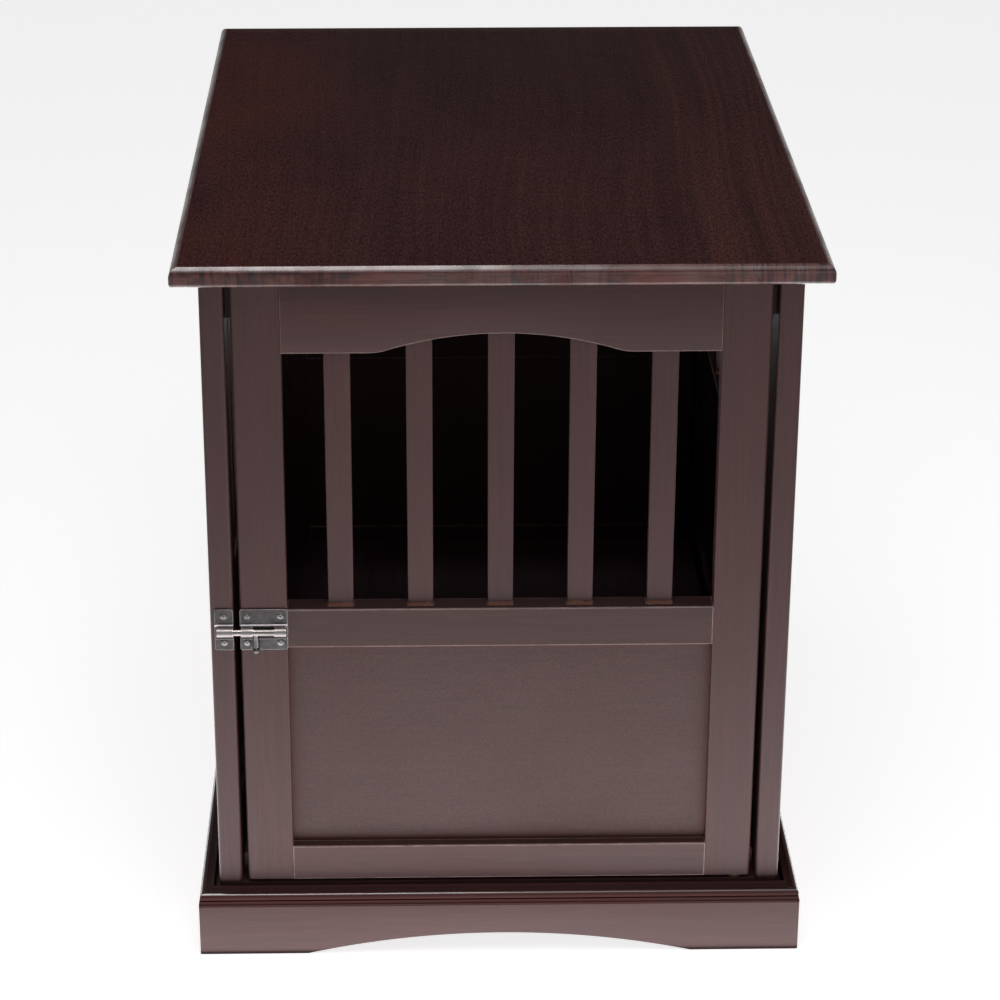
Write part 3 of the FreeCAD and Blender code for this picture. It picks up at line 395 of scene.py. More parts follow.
def mitred_strip(name, section, half_run, place, finish, gap=0.00006, sharp=28):
    """A strip of one section, given as (depth, height) points, mitred at both ends."""
    shape = bmesh.new()
    rows = []
    for end in (-1, 1):
        rows.append([shape.verts.new((end * (half_run - depth - gap), depth, height))
                     for depth, height in section])
    count = len(section)
    for k in range(count):
        shape.faces.new((rows[0][k], rows[1][k], rows[1][(k + 1) % count], rows[0][(k + 1) % count]))
    shape.faces.new(rows[0])
    shape.faces.new(list(reversed(rows[1])))
    bmesh.ops.recalc_face_normals(shape, faces=shape.faces)
    mesh = bpy.data.meshes.new(name)
    shape.to_mesh(mesh)
    shape.free()
    mesh.transform(place)
    mesh.materials.append(finish)
    mesh.shade_smooth()
    mesh.set_sharp_from_angle(angle=math.radians(sharp))
    strip = bpy.data.objects.new(name, mesh)
    bpy.context.scene.collection.objects.link(strip)
    return strip


low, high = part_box("base_moulding_front")
foot = low.z
band_top = foot + LIP_RISE + LEDGE_FALL + BAND_RISE
bead = (LEDGE_DEPTH + BEAD_RADIUS, band_top + BEAD_RADIUS * math.sin(math.radians(60)))
cove = (bead[0] + BEAD_RADIUS * math.sqrt(0.5), high.z)
moulding_section = (
    [(MOULDING_DEPTH, foot), (LIP_EASE, foot), (0.0, foot + LIP_EASE),
     (0.0, foot + LIP_RISE - LIP_EASE), (LIP_EASE, foot + LIP_RISE),
     (LEDGE_DEPTH, foot + LIP_RISE + LEDGE_FALL),
     (LEDGE_DEPTH, band_top - LIP_EASE), (LEDGE_DEPTH + LIP_EASE, band_top)]
    + arc_points(bead, BEAD_RADIUS, 240, 45, 20)
    + arc_points(cove, COVE_RADIUS, 270, 360, 10)
    + [(MOULDING_DEPTH, high.z)])
MAHOGANY = dict(deep=(0.024, 0.006, 0.006), stain=(0.048, 0.013, 0.012), warm=(0.090, 0.024, 0.019))
ON_THE_BEAD = dict(proud_from=bead[1] + 0.75 * BEAD_RADIUS,
                   proud_within=(*base_half["front"], bead[0] + 0.25 * BEAD_RADIUS))
moulding_long_grain, moulding_side_grain = (
    stained_wood("moulding_wood_along_" + along, along, shift=(0.3, 0, 0), edge_strength=0.0,
                 rough=(0.36, 0.46), sheen_level=0.18, **ON_THE_BEAD, **MAHOGANY) for along in "xy")
for side, (half_run, out) in base_half.items():
    strip = mitred_strip("profiled_moulding_" + side, moulding_section, half_run,
                         set_on_side(side, out, 0.0),
                         moulding_long_grain if side in ("front", "back") else moulding_side_grain)
    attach(strip, "carcass")
    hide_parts("base_moulding_" + side)


# ---------------------------------------------------------------- posts and stiles
# Sawn stock, 38 by 19 mm, planed, with its outer corners rounded and its inner edges just eased. The
# rails are tenoned into it. It is stained before the lacquer, and the stain is thin on the corners:
# the corners are painted lighter and redder, partly as worn stain and partly as a painted highlight.

upright_grain = stained_wood("upright_wood", "z", **ESPRESSO)
door_upright_grain = stained_wood("door_upright_wood", "z", shift=(0.4, 0.2, 0.1), **ESPRESSO)
for name in ("left_front_post", "left_rear_post", "right_front_post", "right_rear_post",
             "back_left_stile", "back_right_stile"):
    crate[name].data.materials[0] = upright_grain
for name in ("door_latch_stile", "door_pivot_stile"):
    crate[name].data.materials[0] = door_upright_grain


# ---------------------------------------------------------------- straight rails
# The bottom and middle rails of each frame run level between the stiles. The panel's groove is
# ploughed in their edges, and the slats stand in pockets in the middle rail's top edge.

# The rails' eased edges are mixed at full strength toward a light pinkish grey: a painted highlight line
# along each arris.
RAIL_EDGE_HIGHLIGHT = dict(edge_colour=(0.50, 0.35, 0.32), edge_reach=0.0015, edge_strength=1.0)
side_rail_grain = stained_wood("side_rail_wood", "y", shift=(0.1, 0.3, 0), **RAIL_EDGE_HIGHLIGHT, **ESPRESSO)
end_rail_grain = stained_wood("end_rail_wood", "x", shift=(0, 0.3, 0.1), **RAIL_EDGE_HIGHLIGHT, **ESPRESSO)
# A darker copy of the espresso stain for the middle rails: painted shade.
ESPRESSO_PAINTED_SHADE = dict(deep=(0.024, 0.0090, 0.0090), stain=(0.044, 0.0165, 0.0165),
                    warm=(0.060, 0.0235, 0.022))
middle_rail_grain = {
    "y": stained_wood("side_middle_rail_wood", "y", shift=(0.5, 0.1, 0), **RAIL_EDGE_HIGHLIGHT, **ESPRESSO_PAINTED_SHADE),
    "x": stained_wood("end_middle_rail_wood", "x", shift=(0, 0.1, 0.5), **RAIL_EDGE_HIGHLIGHT, **ESPRESSO_PAINTED_SHADE)}
for frame_name in ("left", "right", "back", "door"):
    sideways = frame_name in ("left", "right")
    crate[frame_name + "_bottom_rail"].data.materials[0] = side_rail_grain if sideways else end_rail_grain
    crate[frame_name + "_middle_rail"].data.materials[0] = middle_rail_grain["y" if sideways else "x"]


# ---------------------------------------------------------------- arched top rails
# The wide rail over each window is sawn to a flat arch that starts from a short hollow curve. Its
# lower edge is eased, so it catches a thin line of light, and a light line is painted along its
# eased edges too, as a painted highlight.

ARCH_SHOULDER, ARCH_RISE, ARCH_BLEND, RAIL_ARRIS = 0.0685, 0.0158, 0.045, 0.0006


def between(first, second, axis):
    """The clear span between two uprights, along x or y."""
    (a0, a1), (b0, b1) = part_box(first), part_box(second)
    if getattr(a0, axis) > getattr(b0, axis):
        (a0, a1), (b0, b1) = (b0, b1), (a0, a1)
    return getattr(a1, axis), getattr(b0, axis)


rails = {}
for frame_name, side, uprights, body in (
        ("door", "front", ("door_latch_stile", "door_pivot_stile"), "door"),
        ("back", "back", ("back_left_stile", "back_right_stile"), "carcass"),
        ("left", "left", ("left_front_post", "left_rear_post"), "carcass"),
        ("right", "right", ("right_front_post", "right_rear_post"), "carcass")):
    node = frame_name + "_top_rail"
    low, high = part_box(node)
    across = "x" if side in ("front", "back") else "y"
    depth = "y" if across == "x" else "x"
    start, end = between(*uprights, across)
    out = {"front": -low.y, "back": high.y, "left": -low.x, "right": high.x}[side]
    thick = getattr(high, depth) - getattr(low, depth)
    rails[frame_name] = (side, start, end, low.z)
    rail = shape_from(arched_board, "arched_" + node, {
        "Length": end - start, "Height": high.z - low.z, "Thickness": thick,
        "Shoulder": ARCH_SHOULDER, "Rise": ARCH_RISE, "Blend": ARCH_BLEND, "Mitre": 0.0,
        "Finish": side_rail_grain if across == "y" else end_rail_grain},
        set_on_side(side, out, low.z), arris=RAIL_ARRIS)
    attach(rail, body)
    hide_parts(node)


# ---------------------------------------------------------------- slats
# Upright slats, planed square with eased edges, are let into the middle rail and the arched rail.
# Each is cut from its own length of stock, so the grain differs from one to the next.

END_SLATS, SIDE_SLATS = 5, 9
END_SLAT_GAP, SLAT_WIDTH, SLAT_THICKNESS, SLAT_TENON, SLAT_EASE = 0.033, 0.0205, 0.009, 0.008, 0.0010


def slat_row_tree():
    """A row of slats centred on x = 0: outer face on y = 0, feet on z = 0, heads following an arch."""
    tree, b, given, out = new_shaping_tree("slat_row", [
        ("Count", "Int"), ("Pitch", "Float"), ("Width", "Float"), ("Thickness", "Float"),
        ("Ease", "Float"), ("Height", "Float"), ("Rise", "Float"), ("Half Span", "Float"),
        ("Blend", "Float"), ("Seed", "Int"), ("Finish", "Material")])
    spread = b.sum("MULTIPLY", given["Pitch"], b.sum("SUBTRACT", given["Count"], 1.0))
    row = b.add("GeometryNodeMeshLine", {
        "Count": given["Count"], "Start Location": b.vector(X=b.sum("MULTIPLY", spread, -0.5)),
        "Offset": b.vector(X=given["Pitch"])}, mode="OFFSET")
    outline = b.add("GeometryNodeCurvePrimitiveQuadrilateral",
                    {"Width": given["Width"], "Height": given["Thickness"]})
    eased = b.add("GeometryNodeFilletCurve", {"Curve": outline.outputs[0], "Count": 4,
                                              "Radius": given["Ease"]}, mode="POLY")
    stalk = b.add("GeometryNodeCurvePrimitiveLine", {"Start": (0, 0, 0), "End": (0, 0, 1)})
    blank = b.add("GeometryNodeCurveToMesh", {"Curve": stalk.outputs[0],
                                              "Profile Curve": eased.outputs[0], "Fill Caps": True})
    set_back = b.vector(Y=b.sum("MULTIPLY", given["Thickness"], 0.5))
    blank = b.add("GeometryNodeTransform", {"Geometry": blank.outputs[0], "Translation": set_back})
    away = b.sum("ABSOLUTE", b.split(b.add("GeometryNodeInputPosition").outputs[0])["X"])
    crown = arch_crown(b, given["Half Span"], given["Rise"], given["Blend"], away)[0]
    tall = b.sum("ADD", given["Height"], b.sum("MAXIMUM", crown, 0.0))
    stood = b.add("GeometryNodeInstanceOnPoints", {
        "Points": row.outputs["Mesh"], "Instance": blank.outputs[0],
        "Scale": b.vector(X=1.0, Y=1.0, Z=tall)})
    own = b.add("FunctionNodeRandomValue", {0: (-1.0, -1.0, -1.0), 1: (1.0, 1.0, 1.0),
                                            "Seed": given["Seed"]}, data_type="FLOAT_VECTOR")
    marked = b.add("GeometryNodeStoreNamedAttribute", {
        "Geometry": stood.outputs[0], "Name": "cut_from", "Value": own.outputs[0]},
        data_type="FLOAT_VECTOR", domain="INSTANCE")
    b.dress(marked.outputs[0], given["Finish"], out)
    return tree


slat_grain = stained_wood("slat_wood", "z", attribute="cut_from",
                          foot_at=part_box("door_middle_rail")[1].z, **ESPRESSO)
slat_row = slat_row_tree()
for frame_name, (side, start, end, rail_foot) in rails.items():
    count = SIDE_SLATS if side in ("left", "right") else END_SLATS
    nodes = (["door_slat_%d" % k for k in range(1, 6)] if frame_name == "door"
             else [frame_name + "_slats"])
    lows, highs = zip(*(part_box(n) for n in nodes))
    foot = min(p.z for p in lows)
    face = {"front": -min(p.y for p in lows), "back": max(p.y for p in highs),
            "left": -min(p.x for p in lows), "right": max(p.x for p in highs)}[side]
    half_opening = (end - start) / 2
    pitch = 2 * (half_opening - END_SLAT_GAP - SLAT_WIDTH / 2) / (count - 1)
    row = shape_from(slat_row, frame_name + "_window_slats", {
        "Count": count, "Pitch": pitch, "Width": SLAT_WIDTH, "Thickness": SLAT_THICKNESS,
        "Ease": SLAT_EASE, "Height": rail_foot + SLAT_TENON - foot, "Rise": ARCH_RISE,
        "Half Span": half_opening - ARCH_SHOULDER, "Blend": ARCH_BLEND,
        "Seed": 3 + len(frame_name), "Finish": slat_grain}, set_on_side(side, face, foot))
    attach(row, "door" if frame_name == "door" else "carcass")
    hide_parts(*nodes)


# ---------------------------------------------------------------- panels
# Thin plywood panels sit in the grooves below the windows. The stain is sprayed on, so the middle is
# cloudy and finely speckled, and a redder border shows along the frame.

SPRAY = {"Deep": (0.026, 0.0115, 0.0108), "Stain": (0.049, 0.0215, 0.0205),
         "Warm": (0.061, 0.0260, 0.0235), "Figure": 0.3, "Streak": 0.25, "Pores": 0.15, "Waviness": 0.02}
SPRAY_CLOUD, SPRAY_LIGHT = (0.057, 0.0255, 0.0235), (0.088, 0.042, 0.037)
SPRAY_DARK, RED_BORDER = (0.030, 0.0130, 0.0115), (0.066, 0.018, 0.013)
BORDER_REACH, BORDER_RAGGED = 0.010, 0.006


def sprayed_panel(name, along, across_axis, half_width, foot, head):
    """Plywood, stained by spray: fine speckle, cloudy tone and a redder band inside the frame."""
    material, b, shader = new_finish(name)
    spot = b.spot()
    turned = b.add("ShaderNodeMapping", {"Vector": spot, "Rotation": GRAIN_TURNS[along]}).outputs[0]
    grain = b.add("ShaderNodeGroup", {"Vector": turned, **SPRAY}, node_tree=wood_grain).outputs
    where = b.split(spot)
    to_side = b.sum("SUBTRACT", half_width, b.sum("ABSOLUTE", where[across_axis]))
    to_end = b.sum("MINIMUM", b.sum("SUBTRACT", where["Z"], foot), b.sum("SUBTRACT", head, where["Z"]))
    ragged = b.sum("MULTIPLY", b.sum("SUBTRACT", b.noise(spot, 60.0, 4.0), 0.5), BORDER_RAGGED)
    inward = b.sum("ADD", b.sum("MINIMUM", to_side, to_end), ragged)
    border = b.ramp(inward, 0.0, BORDER_REACH, 1.0, 0.0, smooth=True)
    cloud = b.ramp(b.noise(spot, 9.0, 5.0, 0.6), 0.35, 0.68)
    speckle = b.noise(spot, 900.0, 2.0)
    colour = b.mix_colour(b.sum("MULTIPLY", cloud, 0.35), grain["Color"], SPRAY_CLOUD)
    colour = b.mix_colour(b.ramp(speckle, 0.52, 0.66, 0.0, 0.45), colour, SPRAY_LIGHT)
    colour = b.mix_colour(b.ramp(speckle, 0.46, 0.34, 0.0, 0.35), colour, SPRAY_DARK)
    colour = b.mix_colour(b.sum("MULTIPLY", border, 0.7), colour, RED_BORDER)
    b.feed(shader.inputs["Base Color"], colour)
    b.feed(shader.inputs["Roughness"], b.ramp(cloud, 0.0, 1.0, 0.50, 0.60))
    shader.inputs["Specular IOR Level"].default_value = 0.30
    b.emboss(shader, speckle, 0.35, 0.0003)
    return material


for frame_name, (side, start, end, _) in rails.items():
    across = "Y" if side in ("left", "right") else "X"
    foot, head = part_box(frame_name + "_bottom_rail")[1].z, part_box(frame_name + "_middle_rail")[0].z
    crate[frame_name + "_panel"].data.materials[0] = sprayed_panel(
        frame_name + "_panel_stain", across.lower(), across, (end - start) / 2, foot, head)


# ---------------------------------------------------------------- sill, floor and hidden rails
# The sill carries the floor's front edge and the door's foot pin. The floor is a plain board on
# battens, and battens under the top take the screws. The sill, stretcher and battens are stained
# with the rest; the floor board is stained lighter and pinker, as painted light in the dark inside.

for along, names in (("x", ("front_sill", "front_stretcher")), ("y", ("floor_cleats", "top_cleats"))):
    inner_grain = stained_wood("inner_wood_along_" + along, along, shift=(0.2, 0.1, 0.4),
                               edge_strength=0.3, **ESPRESSO)
    for name in names:
        crate[name].data.materials[0] = inner_grain
# The floor board's stain is about twice as light and pinker than the rest: painted light inside the crate.
floor_stain_painted_lighter = stained_wood("floor_board_stain_painted_lighter", "y", (0.055, 0.028, 0.034), (0.120, 0.066, 0.078),
                           (0.150, 0.078, 0.086), streak=0.35, figure=0.3)
crate["floor_panel"].data.materials[0] = floor_stain_painted_lighter


# ---------------------------------------------------------------- tabletop
# A board edged with solid strips. The veneer is laid over both with its grain running from front to
# back, then the edge is moulded to a round above and a smaller one below, which bares the strips.

EDGE_UPPER, EDGE_LOWER, EDGE_WIDTH = 0.007, 0.0045, 0.024
VENEER_DEEP, VENEER_WARM = (0.041, 0.0166, 0.0178), (0.065, 0.0268, 0.0232)
VENEER_LINE, VENEER_PORE = (0.020, 0.0072, 0.0078), (0.014, 0.0050, 0.0058)
VENEER_RING, VENEER_RED = (0.070, 0.027, 0.023), (0.095, 0.022, 0.016)
JOIN_FROM, JOIN_TO = 0.148, 0.166
REDDER_FROM, REDDER_TO = -0.10, -0.22


def laid_veneer(name):
    """Dark stained veneer, grain front to back: fine pores and fibre, cloudy tone, and a piece with
    cathedral figure joined on at the right."""
    material, b, shader = new_finish(name)
    spot = b.spot()
    where = b.split(spot)
    drift = b.sum("MULTIPLY", b.sum("SUBTRACT", b.noise(spot, (3.0, 1.3, 0), 1.0, 0.55), 0.5), 0.075)
    drifted = b.vector(X=b.sum("ADD", where["X"], drift), Y=where["Y"])
    cloud = b.ramp(b.noise(spot, (5.0, 3.4, 0), 4.0, 0.6), 0.30, 0.72)
    lines = b.ramp(b.noise(drifted, (150, 2.4, 0), 3.0, 0.6), 0.36, 0.66)
    fibre = b.noise(spot, (640, 26, 0), 3.0, 0.7)
    speckle = b.noise(spot, (620, 170, 0), 3.0, 0.75)
    joined = b.ramp(where["X"], JOIN_FROM, JOIN_TO)
    rings = b.ramp(b.noise(drifted, (120, 1.0, 0), 2.0, 0.5), 0.40, 0.64)
    left = b.ramp(where["X"], REDDER_FROM, REDDER_TO, smooth=True)
    colour = b.mix_colour(b.sum("MULTIPLY", cloud, 0.6), VENEER_DEEP, VENEER_WARM)
    colour = b.mix_colour(b.sum("MULTIPLY", lines, 0.35), colour, VENEER_LINE)
    colour = b.mix_colour(b.sum("MULTIPLY", b.sum("MULTIPLY", joined, rings), 0.65), colour, VENEER_RING)
    colour = b.mix_colour(b.sum("MULTIPLY", b.sum("MULTIPLY", left, cloud), 0.5), colour, VENEER_RED)
    colour = b.shade(colour, b.ramp(speckle, 0.36, 0.64, 0.45, 1.6))
    colour = b.mix_colour(b.ramp(fibre, 0.52, 0.72, 0.0, 0.45), colour, VENEER_PORE)
    b.feed(shader.inputs["Base Color"], colour)
    b.feed(shader.inputs["Roughness"], b.ramp(cloud, 0.0, 1.0, 0.24, 0.32))
    shader.inputs["Specular IOR Level"].default_value = 0.005
    b.emboss(shader, b.sum("ADD", fibre, speckle), 0.25, 0.0002)
    return material


veneer = laid_veneer("veneer_along_y")
crate["top_panel"].data.materials[0] = veneer
EDGING = dict(deep=(0.020, 0.0040, 0.0050), stain=(0.078, 0.0260, 0.0260), warm=(0.135, 0.040, 0.032),
              pores=0.4, rough=(0.36, 0.46), sheen_level=0.10, edge_strength=0.0)
edging_long = stained_wood("edging_along_x", "x", figure=0.8, streak=0.85, waviness=0.030,
                           mottle=0.9, lacquer=0.9, **EDGING)
edging_side = stained_wood("edging_along_y", "y", figure=0.6, streak=0.7, waviness=0.020,
                           mottle=0.7, lacquer=0.7, **EDGING)
low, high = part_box("top_lipping_front")[0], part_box("top_lipping_back")[1]
edging_section = (
    [(EDGE_WIDTH, low.z)]
    + arc_points((EDGE_LOWER, low.z + EDGE_LOWER), EDGE_LOWER, 270, 180, 12)
    + arc_points((EDGE_UPPER, high.z - EDGE_UPPER), EDGE_UPPER, 180, 90, 14)
    + [(EDGE_WIDTH, high.z)])
for side, half_run, out in (("front", high.x, -low.y), ("back", high.x, high.y),
                            ("left", high.y, -low.x), ("right", high.y, high.x)):
    strip = mitred_strip("rounded_edging_" + side, edging_section, half_run, set_on_side(side, out, 0.0),
                         edging_long if side in ("front", "back") else edging_side)
    strip.data.materials.append(veneer)
    for face in strip.data.polygons:
        if face.normal.z > 0.99:
            face.material_index = 1
    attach(strip, "carcass")
    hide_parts("top_lipping_" + side)


# ---------------------------------------------------------------- pivots and plain fixings
# Steel pins at the head and foot of the door turn in flanged brass bushes. Zinc-plated screws hold
# the tabletop to the battens under it.


def turned_metal(name, colour, rough):
    """Bare metal with fine turning marks, a little dulled in patches."""
    material, b, shader = new_finish(name)
    spot = b.spot()
    marks = b.noise(spot, (300, 300, 6000), 2.0)
    dull = b.ramp(b.noise(spot, 140.0, 4.0), 0.4, 0.65)
    b.feed(shader.inputs["Base Color"],
           b.mix_colour(b.sum("MULTIPLY", dull, 0.5), colour, tuple(0.55 * c for c in colour)))
    b.feed(shader.inputs["Roughness"], b.sum("ADD", b.ramp(marks, 0.3, 0.7, rough, rough + 0.12),
                                             b.sum("MULTIPLY", dull, 0.12)))
    shader.inputs["Metallic"].default_value = 1.0
    return material


steel = turned_metal("zinc_plated_steel", (0.60, 0.60, 0.59), 0.30)
brass = turned_metal("turned_brass", (0.70, 0.52, 0.26), 0.28)
for name in ("upper_pivot_pin", "lower_pivot_pin", "top_screws"):
    crate[name].data.materials[0] = steel
crate["pivot_bushes"].data.materials[0] = brass


# ---------------------------------------------------------------- barrel bolt
# A pressed-steel barrel bolt with an antique pewter finish. Each plate has two stiffening ridges and
# a strap rolled over the rod. The turned knob hangs below the rod, and four plus two screws hold it.

PLATE_FACE = 0.32995
RIDGE_PROUD, STRAP_PROUD = (0.0002, 0.0005), (0.0009, 0.0014)
UPPER_RIDGE_FROM, UPPER_RIDGE_TO = 0.288, 0.299
UPPER_RIDGE_HIGHLIGHT_METAL, STRAP_METAL, RUBBED_METAL = (0.48, 0.44, 0.47), (0.24, 0.215, 0.21), (0.72, 0.69, 0.66)


def pewter(name, base, dark, rough=(0.30, 0.46), pressed=False):
    """Antique pewter plating: dark on the flats, brighter on raised parts and rubbed edges. On a
    pressed plate, the upper ridge is painted brighter as a painted highlight, and the strap stands
    brighter."""
    material, b, shader = new_finish(name)
    spot = b.spot()
    cloud = b.ramp(b.noise(spot, 180.0, 5.0, 0.6), 0.36, 0.66)
    brushed = b.noise(spot, (260, 3800, 3800), 2.0)
    edge = b.add("ShaderNodeGroup", {"Reach": 0.0005, "Vector": spot}, node_tree=worn_edge_and_highlight).outputs
    colour = b.mix_colour(b.sum("MULTIPLY", cloud, 0.6), base, dark)
    colour = b.mix_colour(b.ramp(brushed, 0.35, 0.7, 0.0, 0.25), colour, dark)
    if pressed:
        where = b.split(spot)
        proud = b.sum("MULTIPLY", where["Y"], -1.0)
        ridge, strap = (b.ramp(proud, PLATE_FACE + low, PLATE_FACE + high)
                        for low, high in (RIDGE_PROUD, STRAP_PROUD))
        # Only the upper ridge is mixed toward a bright metal: a painted highlight from the light above.
        above = b.ramp(where["Z"], UPPER_RIDGE_FROM, UPPER_RIDGE_TO)
        colour = b.mix_colour(b.sum("MULTIPLY", ridge, above), colour, UPPER_RIDGE_HIGHLIGHT_METAL)
        colour = b.mix_colour(strap, colour, STRAP_METAL)
    colour = b.mix_colour(b.sum("MULTIPLY", edge["Edge"], 0.8), colour, RUBBED_METAL)
    b.feed(shader.inputs["Base Color"], colour)
    b.feed(shader.inputs["Roughness"], b.sum("ADD", b.ramp(brushed, 0.3, 0.7, *rough),
                                             b.sum("MULTIPLY", cloud, 0.08)))
    shader.inputs["Metallic"].default_value = 1.0
    b.emboss(shader, brushed, 0.15, 0.0001)
    return material


plate_pewter = pewter("pewter_plate", (0.075, 0.069, 0.071), (0.030, 0.027, 0.028), pressed=True)
rod_pewter = pewter("pewter_rod", (0.26, 0.24, 0.232), (0.13, 0.115, 0.11), (0.20, 0.30))
knob_pewter = pewter("pewter_knob", (0.17, 0.16, 0.158), (0.06, 0.055, 0.055), (0.24, 0.34))
screw_pewter = pewter("pewter_screw", (0.18, 0.17, 0.17), (0.05, 0.045, 0.045), (0.22, 0.34))
for name in ("latch_plate", "keeper"):
    crate[name].data.materials[0] = plate_pewter
crate["bolt_rod"].data.materials[0] = rod_pewter
crate["bolt_knob"].data.materials[0] = knob_pewter
HEAD_RADIUS, HEAD_DOME, SLOT_WIDTH, SLOT_LENGTH, SLOT_DEPTH = 0.0029, 0.0010, 0.0008, 0.0031, 0.0008
MOST_TURN = 0.7


def screw_heads_tree():
    """Oval cross-slot screw heads in columns and rows: plate face on y = 0, centred, each turned by
    its own amount, as a screw stops where it bites."""
    tree, b, given, out = new_shaping_tree("cross_slot_screw_heads", [
        ("Columns", "Int"), ("Rows", "Int"), ("Across", "Float"), ("Up", "Float"),
        ("Radius", "Float"), ("Dome", "Float"), ("Slot Width", "Float"), ("Slot Length", "Float"),
        ("Slot Depth", "Float"), ("Seed", "Int"), ("Finish", "Material")])

    def line(count, gap, axis):
        start = b.sum("MULTIPLY", b.sum("MULTIPLY", gap, b.sum("SUBTRACT", count, 1.0)), -0.5)
        return b.add("GeometryNodeMeshLine", {
            "Count": count, "Start Location": b.vector(**{axis: start}),
            "Offset": b.vector(**{axis: gap})}, mode="OFFSET").outputs[0]

    grid = b.add("GeometryNodeInstanceOnPoints", {"Points": line(given["Columns"], given["Across"], "X"),
                                                  "Instance": line(given["Rows"], given["Up"], "Z")})
    places = b.add("GeometryNodeRealizeInstances", {"Geometry": grid.outputs[0]}).outputs[0]
    ball = b.add("GeometryNodeMeshUVSphere", {"Segments": 40, "Rings": 20, "Radius": 1.0})
    head = b.add("GeometryNodeTransform", {
        "Geometry": ball.outputs[0], "Rotation": (math.pi / 2, 0, 0),
        "Scale": b.vector(X=given["Radius"], Y=given["Radius"], Z=given["Dome"])})
    cut = b.add("GeometryNodeMeshBoolean", operation="DIFFERENCE")
    tree.links.new(head.outputs[0], cut.inputs[0])
    depth = b.sum("MULTIPLY", given["Dome"], -1.0)
    for length, width in (("Slot Length", "Slot Width"), ("Slot Width", "Slot Length")):
        box = b.add("GeometryNodeMeshCube", {"Size": b.vector(
            X=given[length], Y=b.sum("MULTIPLY", given["Slot Depth"], 2.0), Z=given[width])})
        slot = b.add("GeometryNodeTransform", {"Geometry": box.outputs[0],
                                               "Translation": b.vector(Y=depth)})
        tree.links.new(slot.outputs[0], cut.inputs[1])
    turn = b.add("FunctionNodeRandomValue", {"Seed": given["Seed"], 2: -MOST_TURN, 3: MOST_TURN},
                 data_type="FLOAT")
    driven = b.add("GeometryNodeInstanceOnPoints", {"Points": places, "Instance": cut.outputs[0],
                                                    "Rotation": b.vector(Y=turn.outputs[1])})
    b.dress(driven.outputs[0], given["Finish"], out)
    return tree


screw_heads = screw_heads_tree()
for name, body, columns in (("latch_screws", "door", 2), ("keeper_screws", "carcass", 1)):
    low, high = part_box(name)
    heads = shape_from(screw_heads, "cross_slot_" + name, {
        "Columns": columns, "Rows": 2, "Across": high.x - low.x - 2 * HEAD_RADIUS,
        "Up": high.z - low.z - 2 * HEAD_RADIUS, "Radius": HEAD_RADIUS, "Dome": HEAD_DOME,
        "Slot Width": SLOT_WIDTH, "Slot Length": SLOT_LENGTH, "Slot Depth": SLOT_DEPTH,
        "Seed": 5, "Finish": screw_pewter},
        Matrix.Translation(((low.x + high.x) / 2, -PLATE_FACE, (low.z + high.z) / 2)))
    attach(heads, body)
    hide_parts(name)


# ---------------------------------------------------------------- floor, light and camera
# A pale studio floor with a low pale wall far off, and light bounced up from it all round. Soft
# boxes hang overhead and in front; two of them only gleam on what is glossy. The camera looks down
# at the photograph's angle.

FLOOR_HALF, WALL_HEIGHT, BACKDROP_GLOW, AIR_GLOW, BOUNCE_HEIGHT = 30.0, 4.5, 0.78, 0.10, 0.002
corners = [(x * FLOOR_HALF, y * FLOOR_HALF) for x, y in ((-1, -1), (1, -1), (1, 1), (-1, 1))]
floor_mesh = bpy.data.meshes.new("studio_floor")
floor_mesh.from_pydata([(*c, 0) for c in corners] + [(*c, WALL_HEIGHT) for c in corners], [],
                       [(0, 1, 2, 3)] + [(k, 4 + k, 4 + (k + 1) % 4, (k + 1) % 4) for k in range(4)])
floor = bpy.data.objects.new("studio_floor", floor_mesh)
bpy.context.scene.collection.objects.link(floor)
pale, b, shader = new_finish("pale_floor")
seen_by = b.add("ShaderNodeLightPath").outputs
seen = b.sum("MAXIMUM", b.sum("MAXIMUM", seen_by["Is Camera Ray"], seen_by["Is Glossy Ray"]),
             seen_by["Is Transmission Ray"])
shader.inputs["Base Color"].default_value = (0.70, 0.70, 0.70, 1)
shader.inputs["Roughness"].default_value = 1.0
shader.inputs["Specular IOR Level"].default_value = 0.0
shader.inputs["Emission Color"].default_value = (1, 1, 1, 1)
b.feed(shader.inputs["Emission Strength"], b.sum("MULTIPLY", seen, BACKDROP_GLOW))
floor_mesh.materials.append(pale)

world = bpy.data.worlds.new("studio")
bpy.context.scene.world = world
world.use_nodes = True
air = world.node_tree.nodes["Background"].inputs
air["Color"].default_value = (1, 1, 1, 1)
air["Strength"].default_value = AIR_GLOW


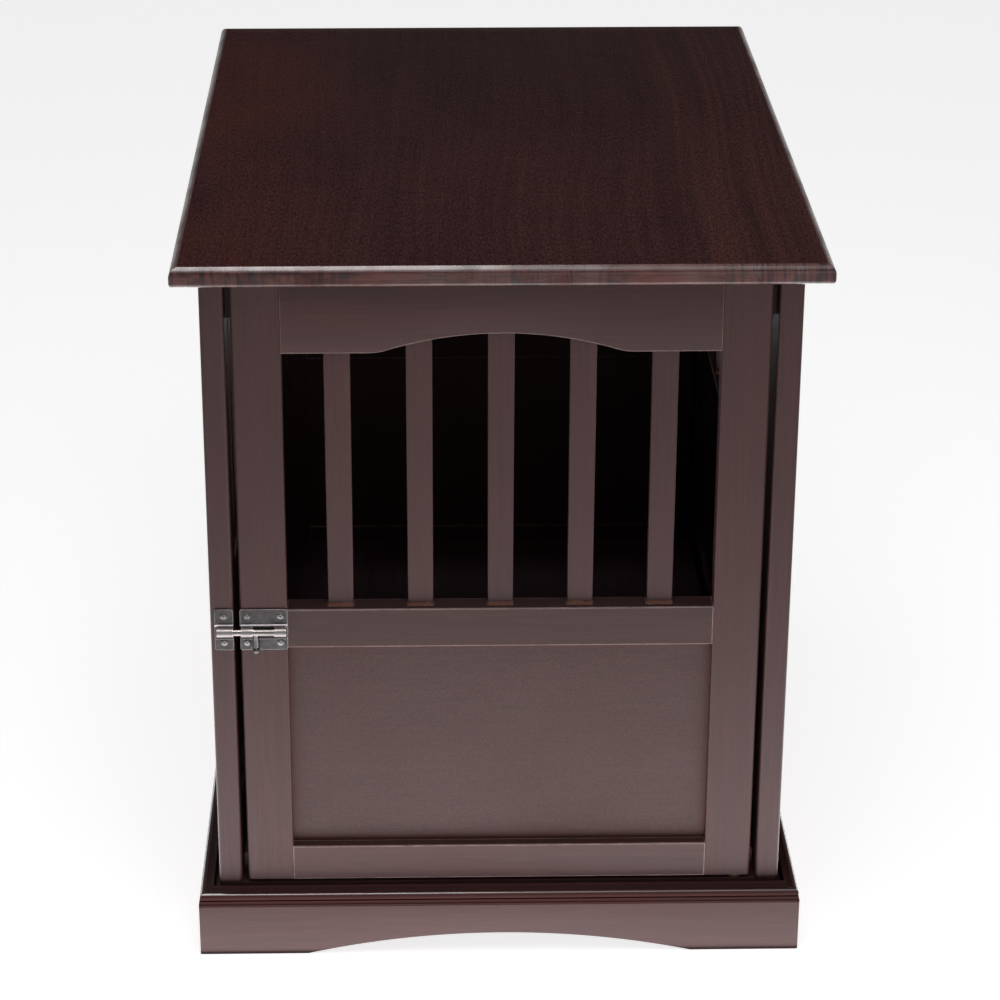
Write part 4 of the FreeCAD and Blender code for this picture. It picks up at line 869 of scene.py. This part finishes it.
def soft_box(name, place, aim, size, glow, lights=True):
    """A rectangular studio light of that width and height and surface brightness, aimed at a point.
    One that doesn't light is only seen as a gleam."""
    lamp = bpy.data.lights.new(name, "AREA")
    lamp.shape, lamp.size, lamp.size_y = "RECTANGLE", size[0], size[1]
    lamp.energy = glow * math.pi * size[0] * size[1]
    light = bpy.data.objects.new(name, lamp)
    bpy.context.scene.collection.objects.link(light)
    light.location = place
    light.rotation_euler = (Vector(aim) - Vector(place)).to_track_quat("-Z", "Y").to_euler()
    light.visible_camera = False
    light.visible_diffuse = lights


soft_box("over_light", (-0.25, -0.15, 2.0), (-0.25, -0.15, 0.0), (0.9, 2.1), 0.9)
soft_box("key_light", (0.10, -0.90, 1.7), (0.10, -0.90, 0.0), (0.9, 1.2), 2.4)
soft_box("gleam_light", (-0.30, 0.05, 1.98), (-0.30, 0.05, 0.0), (0.7, 1.8), 10.0, lights=False)
soft_box("front_light", (0.7, -2.6, 1.0), (0, -0.3, 0.3), (1.4, 1.0), 1.15)
soft_box("front_gleam_light", (-0.3, -3.0, 1.5), (0, -0.3, 0.3), (2.4, 1.6), 0.3, lights=False)
for side, place, size, glow in (
        ("front", (0, -0.557), (1.2, 0.42), 3.0), ("back", (0, 0.557), (1.2, 0.42), 3.4),
        ("left", (-0.462, 0), (0.42, 0.692), 3.4), ("right", (0.462, 0), (0.42, 0.692), 3.4)):
    soft_box("floor_bounce_" + side, (*place, BOUNCE_HEIGHT), (*place, 1.0), size, glow)

SENSOR = 36.0
camera_data = bpy.data.cameras.new("camera")
camera = bpy.data.objects.new("camera", camera_data)
bpy.context.scene.collection.objects.link(camera)
camera_data.sensor_width = SENSOR
camera_data.lens = 2.989 * SENSOR
camera_data.shift_x, camera_data.shift_y = 0.033, -0.050
camera.location = (-0.065, -2.487, 1.374)
yaw, pitch = math.radians(1.01), math.radians(23.15)
sight = Vector((math.sin(yaw) * math.cos(pitch), math.cos(yaw) * math.cos(pitch), -math.sin(pitch)))
camera.rotation_euler = sight.to_track_quat("-Z", "Y").to_euler()
bpy.context.scene.camera = camera
bpy.context.scene.view_settings.view_transform = "Standard"
